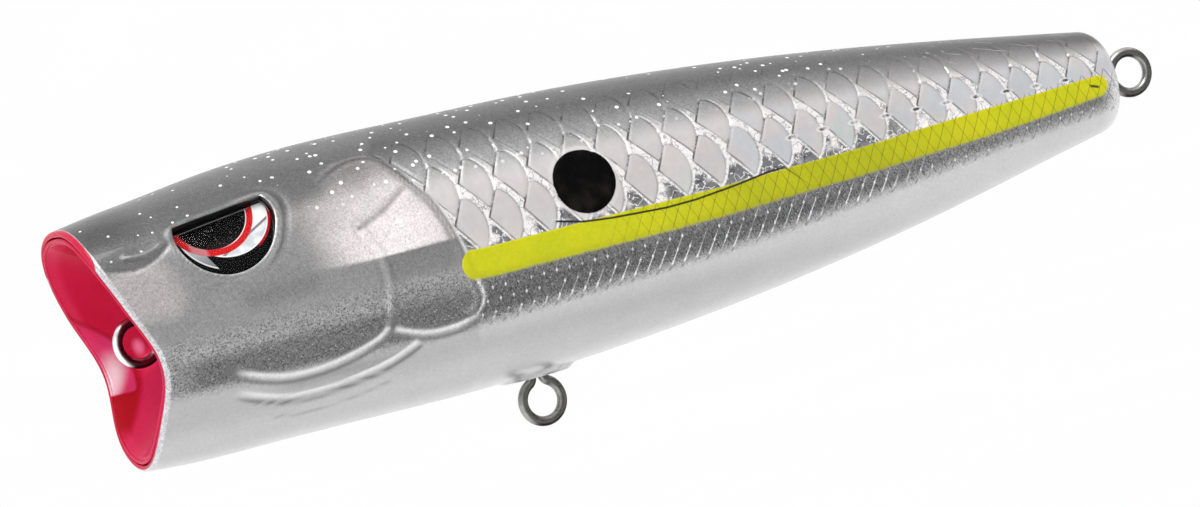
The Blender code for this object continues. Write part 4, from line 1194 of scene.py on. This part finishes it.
# ---------------------------------------------------------------- mouth cup
def mouth_red():
    """Crimson bowl with painted reflections: the wall fades to a pale pink painted reflection, with a
    dark red painted reflection below it.
    """
    mat = Paint("mouth_crimson")
    deep, edge, wall, strip, out, height = mat.attributes("deep edge wall strip out height")
    mottled = mat.noise(0.35, detail=4.0, roughness=0.55)
    mat.colour = mat.mix(mottled.step(0.3, 0.7), rgb(186, 4, 50), rgb(194, 9, 58))
    # painted shade: darker red deep in the bowl; painted highlight: lighter red along the rim
    mat.over(deep.step(0.4, 1.0) * 0.30, rgb(172, 2, 38))
    mat.over(edge.step(0.9, 0.3) * 0.6, rgb(212, 44, 84))
    # painted reflections on the bowl's wall: a pale pink one, and a dark red one below it
    pink_reflection = wall.step(-0.12, 0.12) * height.step(-3.78, -3.58)
    dark_reflection = strip.step(-0.05, 0.30) * (1.0 - pink_reflection)
    dark_reflection = dark_reflection * height.step(-1.2, -2.2) * height.step(-7.0, -5.8)
    # painted reflections: a dark line at the edge of the pink reflection, a pink strip beside the dark
    # red reflection
    line = abs(wall + 0.10).step(0.22, 0.08) * height.step(-0.6, 0.4) * height.step(4.0, 2.6)
    mat.over(line * 0.5, rgb(150, 1, 20))
    mat.over(strip.step(0.10, -0.30) * height.step(-0.4, -1.8) * 0.55, rgb(214, 44, 92))
    mat.over(dark_reflection * 0.85, rgb(166, 1, 12))
    mat.over(pink_reflection * height.step(3.2, -1.0) * 0.75, rgb(214, 56, 112))
    # painted highlights: a soft white one and a little pink one, as distances from their centres
    low = (height + 2.35) * (height + 2.35) * height.step(-3.4, -2.3).max(0.35) * 0.20
    glow = ((out + 5.65) * (out + 5.65) * 1.3 + low).math("SQRT")
    mat.over(pink_reflection * glow.step(1.00, 0.05) * 0.80, rgb(250, 226, 234))
    low = (height + 0.80) * (height + 0.80) * 1.5
    pink_glint = ((out + 4.22) * (out + 4.22) * 5.0 + low).math("SQRT")
    mat.over(pink_glint.step(1.0, 0.15) * 0.75, rgb(246, 128, 168))
    mat.shade((mat.cells(6.0).tint - 0.5) * 0.06 + 1.0)
    mat.surface({
        "Metallic": 0.25, "Specular IOR Level": 0.03, "Roughness": mottled * 0.12 + 0.24,
        "Coat Weight": 0.12, "Coat Roughness": 0.05,
    })
    mat.bump(mat.noise(0.6, detail=3.0), distance_mm=0.006, strength=0.3)
    waves = mat.noise(0.25, detail=1.0)
    mat.bump(waves, distance_mm=0.02, strength=0.25, normal="Coat Normal")
    return mat.material


def mouth_cup():
    count = 192
    angles = np.radians(-180 + 360 * np.arange(count) / count)
    is_left = np.abs(angles) <= math.pi / 2
    folded = np.where(is_left, angles, np.sign(angles) * math.pi - angles)
    mirror = np.where(is_left, 1.0, -1.0)
    rim = rim_y(folded)

    # Both give a ring's points, its depth in the bowl and its distance from the edge.
    def around(y, inset, edge):
        x, z = section(y, folded, inset)
        return np.stack([x * mirror, np.broadcast_to(y, x.shape), z], -1), 0.0, edge

    def bowl(share, push=0.0):
        x, z = section(rim, folded, 0.92)
        y = (rim + 0.16) * share**3 + CUP_DEPTH * (1 - share**2.4) + push
        return np.stack([x * share * mirror, y, z * share], -1), 1 - share, (1 - share) * 14

    # from the middle of the rear face out to the rim, over it and down the bowl
    inset = REBATE_WALL + CUP_CLEARANCE
    rings = [bowl(share, CUP_WALL) for share in np.linspace(0.03, 0.76, 12)]
    rings.append(around(rim + REBATE_LENGTH - 0.1, WALL + 0.1, 9))
    rings.append(around(rim + REBATE_LENGTH - 0.1, inset, 9))
    rings.append(around(rim + 1.2, inset, 9))
    for k in range(9):
        turn = math.radians(180 * k / 8)
        y = rim + CUP_ROLL - CUP_ROLL * math.sin(turn)
        rings.append(around(y, inset + CUP_ROLL - CUP_ROLL * math.cos(turn), 0.0))
    rings += [bowl(share) for share in (1.0, 0.99, 0.975, *np.linspace(0.955, 0.03, 44))]
    points, deep, edge = zip(*rings)
    faces = ring_faces(len(rings), count)
    obj = mesh_object("mouth_cup_skin", np.concatenate(points), faces, [mouth_red()], 50)
    x, _, z = vertices_mm(obj.data).T
    # edges of the painted reflections on the bowl's wall, by height: wall for the pink one, strip for the
    # dark one
    wall = np.interp(z, (-3.5, -2.0, 0.2, 2.8, 6.0), (-4.3, -4.86, -5.3, -6.25, -7.4))
    strip = np.interp(z, (-8.0, -6.4, -5.0, -2.4, 2.0), (-2.9, -3.3, -3.62, -4.28, -5.2))
    add_attributes(
        obj.data, deep=np.repeat(deep, count), edge=np.repeat(edge, count),
        out=x, height=z, wall=wall - x, strip=strip - x,
    )
    return obj


# ---------------------------------------------------------------- wires
def wire_steel(name, front_highlight):
    """Dull drawn wire in painted light: lighter on top, darker below, a painted highlight where it looks
    to the nose, a painted dark reflection along its outline.
    """
    mat = Paint(name)
    facing = Value(mat.node("LayerWeight", {"Blend": 0.5}).outputs["Facing"])
    drawn = mat.noise(1.6, detail=5.0, roughness=0.6, stretch=(1.0, 1.0, 1.0))
    stain = mat.noise(0.4, detail=3.0)
    above, ahead = mat.turned_to((0.10, -0.30, 0.95)), mat.turned_to((0.30, -0.95, -0.05))
    # painted shade on the underside and painted highlight on top, by the way the surface faces
    mat.colour = mat.mix(above.step(-0.55, -0.05), rgb(28, 28, 28), rgb(92, 91, 90))
    mat.over(above.step(0.25, 0.75), rgb(184, 184, 182))
    # painted highlight where the wire looks to the nose
    mat.over(ahead.step(0.48, 0.80), front_highlight)
    # painted dark reflection along the wire's outline
    outline = facing.step(0.55, 0.88) * 0.8 * (ahead.step(0.60, 0.30) * 0.5 + 0.5)
    mat.over(outline, rgb(26, 26, 26))
    mat.shade((drawn - 0.5) * 0.9 + 0.95)
    mat.over(stain.step(0.60, 0.75) * 0.25, rgb(96, 94, 90))
    mat.surface({"Metallic": 1.0, "Roughness": drawn * 0.18 + 0.20})
    mat.bump(drawn, distance_mm=0.02, strength=0.35)
    return mat.material


def keyhole(foot):
    """Centre line of a wire eye with two bent feet, as (across, towards the foot) from its
    centre."""
    fillet_across = LEG_OFFSET + NECK_R
    fillet_down = math.sqrt((RING_R + NECK_R) ** 2 - fillet_across**2)
    opening = math.atan2(fillet_across, fillet_down)
    half = [(FOOT_REACH, foot)]
    for k in range(13):  # bend at the foot
        turn = math.radians(90 * k / 12)
        across = LEG_OFFSET + FOOT_R - FOOT_R * math.sin(turn)
        half.append((across, foot - FOOT_R + FOOT_R * math.cos(turn)))
    for k in range(11):  # neck
        turn = math.pi + k / 10 * (math.pi / 2 - opening)
        across = fillet_across + NECK_R * math.cos(turn)
        half.append((across, fillet_down + NECK_R * math.sin(turn)))
    ring = []
    for k in range(1, 84):
        turn = opening + (2 * math.pi - 2 * opening) * k / 84
        ring.append((RING_R * math.sin(turn), RING_R * math.cos(turn)))
    return half + ring + [(-across, down) for across, down in reversed(half)]


def tube(name, path, material, segments=24):
    """A round wire along a path in a plane of constant x."""
    path = np.array(path, float)
    keep = [0]
    for i in range(1, len(path)):  # drop repeated points
        if np.linalg.norm(path[i] - path[keep[-1]]) > 1e-4:
            keep.append(i)
    path = path[keep]
    tangent = np.gradient(path, axis=0)
    tangent /= np.linalg.norm(tangent, axis=1, keepdims=True)
    flat = np.array((1.0, 0.0, 0.0))
    across = np.cross(tangent, flat)
    across /= np.linalg.norm(across, axis=1, keepdims=True)
    turn = np.linspace(0, 2 * math.pi, segments, endpoint=False)
    turned = np.sin(turn)[None, :, None] * across[:, None, :]
    ring = WIRE_R * (np.cos(turn)[None, :, None] * flat + turned)
    faces = ring_faces(len(path), segments)
    return mesh_object(name, path[:, None, :] + ring, faces, [material], 60)


def build_wires():
    # the nose-facing painted highlight is grey on the hook eyes and near white on the line tie
    steel = wire_steel("wire_steel", rgb(160, 160, 158))
    bright = wire_steel("wire_steel_bright", rgb(252, 252, 251))
    # name, CAD piece, ring centre, centre to foot, (y, z) across, (y, z) to the foot, material
    wires = (
        ("line_tie_wire", "line_tie_eye", NOSE_RING, NOSE_FOOT_Y - NOSE_RING[0],
         (0, 1), (1, 0), bright),
        ("belly_hook_wire", "belly_hook_eye", BELLY_RING, BELLY_FOOT_Z - BELLY_RING[1],
         (1, 0), (0, 1), steel),
        ("tail_hook_wire", "tail_hook_eye", TAIL_RING, TAIL_RING[0] - TAIL_FOOT_Y,
         (0, 1), (-1, 0), steel),
    )
    for name, node, ring, foot, across, down, material in wires:
        path = [
            (0, *(ring[c] + side * across[c] + depth * down[c] for c in (0, 1)))
            for side, depth in keyhole(foot)
        ]
        install(tube(name, path, material), node)


# ---------------------------------------------------------------- eyes
def eye_print():
    """Printed foil: nested discs that differ in centre, under a black band of painted shade at the brow.
    """
    mat = Paint("eye_print")
    along, up = mat.attributes("u v")

    def from_point(x, y):
        return ((along - x) * (along - x) + (up - y) * (up - y)).math("SQRT")

    iris = from_point(-0.35, 1.85)
    white = from_point(0.60, 1.30)
    outer = from_point(0.60, 1.00)
    grain = mat.cells(8.0)
    brushed = mat.noise(1.4, detail=3.0)
    # white disc in a black surround
    paper = mat.scale(rgb(238, 238, 239), (brushed - 0.5) * 0.10 + 1.0)
    mat.colour = mat.mix(white.step(3.04, 3.10), paper, rgb(7, 7, 8))
    # silver below a slanting grey line
    split = up - along * 0.39 + 1.13
    silver = mat.mix(brushed.step(0.35, 0.65), rgb(196, 199, 203), rgb(228, 230, 233))
    mat.over(white.step(3.02, 2.96) * split.step(-0.02, -0.12), silver)
    mat.over(white.step(3.02, 2.96) * abs(split).step(0.13, 0.07), rgb(126, 127, 130))
    # red arc on the tail side
    mat.over(abs(white - 3.17).step(0.11, 0.07) * along.step(1.75, 2.15), rgb(180, 20, 28))
    # grey crescent on the nose side, with a pale edge
    crescent = outer.step(3.80, 3.74) * (along + up * 0.293).step(-2.02, -2.09)
    grey = mat.mix(up.step(-1.9, 0.4), rgb(128, 130, 134), rgb(190, 192, 197))
    mat.over(crescent, mat.scale(grey, (brushed - 0.5) * 0.3 + 1.0))
    mat.over(crescent * abs(outer - 3.70).step(0.07, 0.03), rgb(226, 228, 230))
    # red iris with a gleam and a pale inner edge
    red = iris.step(3.16, 3.10)
    mat.over(red, mat.scale(rgb(196, 32, 36), (grain.tint - 0.5) * 0.16 + 1.0))
    gleam = red * along.step(-1.45, -1.75) * along.step(-2.75, -2.45)
    mat.over(gleam * 0.4, rgb(186, 180, 184))
    mat.over(iris.step(2.70, 2.65) * along.step(-0.9, 0.9), rgb(240, 226, 226))
    # speckled pupil
    pupil = iris.step(2.64, 2.59)
    glow = mat.mix(grain.pick.step(0.93, 0.98) * 0.30, rgb(5, 5, 6), rgb(120, 120, 122))
    glow = mat.mix(up.step(0.1, -0.5) * along.step(-2.0, -1.2) * 0.45, glow, rgb(46, 40, 39))
    mat.over(pupil, glow)
    # painted shade: the black band under the brow, with a grey line under it
    mat.over(abs(up - 1.36).step(0.055, 0.02) * along.step(2.75, 2.35), rgb(132, 134, 136))
    mat.over(up.step(1.39, 1.44), rgb(6, 6, 7))
    mat.surface({
        "Metallic": (1.0 - pupil.max(white.step(3.10, 3.16))) * 0.35,
        "Specular IOR Level": 0.03,
        "Roughness": brushed * 0.15 + 0.30,
    })
    mat.bump(grain.tint, distance_mm=0.006, strength=0.3)
    return mat.material


def eye_resin():
    """Clear resin: lets the print through and mirrors the studio by its angle."""
    mat = Paint("eye_resin")
    mat.tree.nodes.remove(mat.shader)
    swirl = mat.noise(0.5, detail=2.0)
    bump = mat.node("Bump", {"Distance": 0.01 * MM, "Strength": 0.3, "Height": swirl})
    clear = mat.node("BsdfTransparent")
    gloss = mat.node("BsdfGlossy", {"Roughness": 0.03, "Normal": bump.outputs[0]})
    fresnel = mat.node("Fresnel", {"IOR": 1.12})
    shaders = {0: fresnel.outputs[0], 1: clear.outputs[0], 2: gloss.outputs[0]}
    feed(mat.output.inputs["Surface"], mat.node("MixShader", shaders).outputs[0])
    return mat.material


def build_eyes():
    foil_paint, resin = eye_print(), eye_resin()
    bottom = -SOCKET_DEPTH + 0.04
    top = bottom + FOIL_THICKNESS
    foil_levels = ((bottom, 1.0), (top - 0.05, 1.0), (top, 0.985))
    base = top + 0.03
    dome = [(base, 0.97), (base + 0.04, 0.985), (base + LENS_EDGE - 0.06, 0.985)]
    for share in np.linspace(1.0, 0.06, 16):
        height = base + LENS_EDGE + LENS_CROWN * (1 - share**2.2)
        dome.append((height, 0.985 * share if share < 1 else 0.975))
    for side, tag in SIDES:
        foil = eye_stack(f"{tag}_eye_print", side, EYE_CLEARANCE, foil_levels, [foil_paint])
        lens = eye_stack(f"{tag}_eye_dome", side, EYE_CLEARANCE, dome, [resin], 60)
        install(foil, f"{tag}_eye_foil")
        install(lens, f"{tag}_eye_lens")


# ---------------------------------------------------------------- ballast and balls keep their CAD shape
def metal(name, light, dark, roughness, scratch_mm):
    mat = Paint(name)
    turned = mat.noise(1.2, detail=5.0, roughness=0.6, stretch=(1.0, 6.0, 1.0))
    tarnish = mat.noise(0.3, detail=3.0)
    mat.colour = mat.mix(tarnish.step(0.35, 0.7), light, dark)
    mat.shade((turned - 0.5) * 0.3 + 1.0)
    mat.surface({"Metallic": 1.0, "Roughness": turned * 0.2 + roughness})
    mat.bump(turned, distance_mm=scratch_mm, strength=0.4)
    return mat.material


def paint_ballast():
    brass = metal("turned_brass", light=rgb(208, 176, 96), dark=rgb(150, 118, 58),
                  roughness=0.25, scratch_mm=0.02)
    steel = metal("turned_steel", light=rgb(168, 169, 172), dark=rgb(112, 113, 117),
                  roughness=0.30, scratch_mm=0.02)
    chrome = metal("ball_chrome", light=rgb(214, 215, 218), dark=rgb(176, 178, 182),
                   roughness=0.06, scratch_mm=0.004)
    for node, material in (
        ("belly_weight", brass), ("tail_weight", steel), ("knocker_ball", brass),
        ("rattle_ball_1", chrome), ("rattle_ball_2", chrome), ("rattle_ball_3", chrome),
    ):
        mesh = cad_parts[node].data
        mesh.materials.clear()
        mesh.materials.append(material)


# ---------------------------------------------------------------- studio
def studio_paper():
    """Pale paper that looks evenly white to the camera."""
    mat = Paint("studio_paper")
    fibre = mat.noise(0.02, detail=4.0)
    mat.colour = mat.mix(fibre, (0.90, 0.90, 0.90), (0.93, 0.93, 0.93))
    mat.surface({"Roughness": 0.9, "Specular IOR Level": 0.1})
    white = mat.mix(fibre, (1.0, 1.0, 1.0), (0.985, 0.985, 0.985))
    glow = mat.node("Emission", {"Color": white})
    seen = mat.node("LightPath").outputs["Is Camera Ray"]
    shaders = {0: seen, 1: mat.shader.outputs[0], 2: glow.outputs[0]}
    feed(mat.output.inputs["Surface"], mat.node("MixShader", shaders).outputs[0])
    return mat.material


def backdrop():
    """A round floor that curves up on every side."""
    floor_r, curve_r, floor_z, top_z, segments = 1100, 600, -60.0, 1600.0, 64
    profile = [(radius, 0.0) for radius in (0.0, 300.0, 700.0, 1100.0)]
    for k in range(1, 13):
        turn = math.radians(90 * k / 12)
        z = curve_r - curve_r * math.cos(turn)
        profile.append((floor_r + curve_r * math.sin(turn), z))
    profile.append((float(floor_r + curve_r), top_z))
    points = []
    for radius, z in profile:
        for i in range(segments):
            turn = 2 * math.pi * i / segments
            x, y = radius * math.cos(turn), radius * math.sin(turn)
            points.append((x * MM, y * MM, (z + floor_z) * MM))
    material = studio_paper()
    mesh = bpy.data.meshes.new("studio_sheet")
    mesh.from_pydata(points, [], ring_faces(len(profile), segments, caps=False))
    mesh.materials.append(material)
    mesh.shade_smooth()
    bm = bmesh.new()
    bm.from_mesh(mesh)
    bmesh.ops.remove_doubles(bm, verts=bm.verts, dist=1e-6)
    bmesh.ops.recalc_face_normals(bm, faces=bm.faces)
    bm.to_mesh(mesh)
    bm.free()
    obj = bpy.data.objects.new("studio_sheet", mesh)
    bpy.context.scene.collection.objects.link(obj)


def white_world():
    world = bpy.data.worlds.new("studio")
    bpy.context.scene.world = world
    world.use_nodes = True
    background = world.node_tree.nodes["Background"]
    background.inputs["Color"].default_value = (1.0, 1.0, 1.0, 1.0)
    background.inputs["Strength"].default_value = 1.0


def softbox(name, at, aim, size, watts):
    """A rectangular light; places and sizes in metres."""
    light = bpy.data.lights.new(name, "AREA")
    light.shape = "RECTANGLE"
    light.size, light.size_y = size
    light.energy = watts
    obj = bpy.data.objects.new(name, light)
    obj.location = at
    obj.rotation_euler = (Vector(aim) - Vector(at)).to_track_quat("-Z", "Y").to_euler()
    bpy.context.scene.collection.objects.link(obj)


def photo_camera():
    """Nearly level on the lure's left, turned a little to its mouth, rolled so the tail rises."""
    turn, elevation, distance = math.radians(22), math.radians(2), 0.52
    roll_cos, roll_sin = 0.9659, 0.2588
    level = math.cos(elevation)
    back = Vector((math.cos(turn) * level, -math.sin(turn) * level, math.sin(elevation)))
    tailward = (Vector((0, 1, 0)) - back * back.y).normalized()
    upward = back.cross(tailward)
    centre = Vector((0, BODY_LENGTH / 2 + OFF_Y, OFF_Z)) * MM
    right = tailward * roll_cos - upward * roll_sin
    up = tailward * roll_sin + upward * roll_cos
    data = bpy.data.cameras.new("photo_camera")
    data.sensor_width = 36.0
    data.lens = 218.868
    data.shift_x = -0.01216667
    data.shift_y = -0.03616667
    data.clip_start = 0.05
    data.clip_end = 20.0
    camera = bpy.data.objects.new("photo_camera", data)
    axes = Matrix((right, up, back)).transposed().to_4x4()
    camera.matrix_world = Matrix.Translation(centre + back * distance) @ axes
    bpy.context.scene.collection.objects.link(camera)
    bpy.context.scene.camera = camera


# ---------------------------------------------------------------- build
shell_materials = [shell_paint(), socket_paint()]
for shell_side, shell_tag in SIDES:
    shell = half_shell(f"{shell_tag}_shell_skin", shell_side, shell_materials)
    install(shell, f"{shell_tag}_shell")
install(mouth_cup(), "mouth_cup")
build_wires()
build_eyes()
paint_ballast()
backdrop()
white_world()
softbox("key_softbox", at=(0.30, -0.20, 0.70), aim=(0, 0, 0), size=(0.5, 0.3), watts=3.0)
softbox("mouth_softbox", at=(0.06, -0.60, 0.16), aim=(0, -0.04, 0), size=(0.12, 0.16), watts=0.45)
photo_camera()
bpy.context.scene.view_settings.view_transform = "Standard"
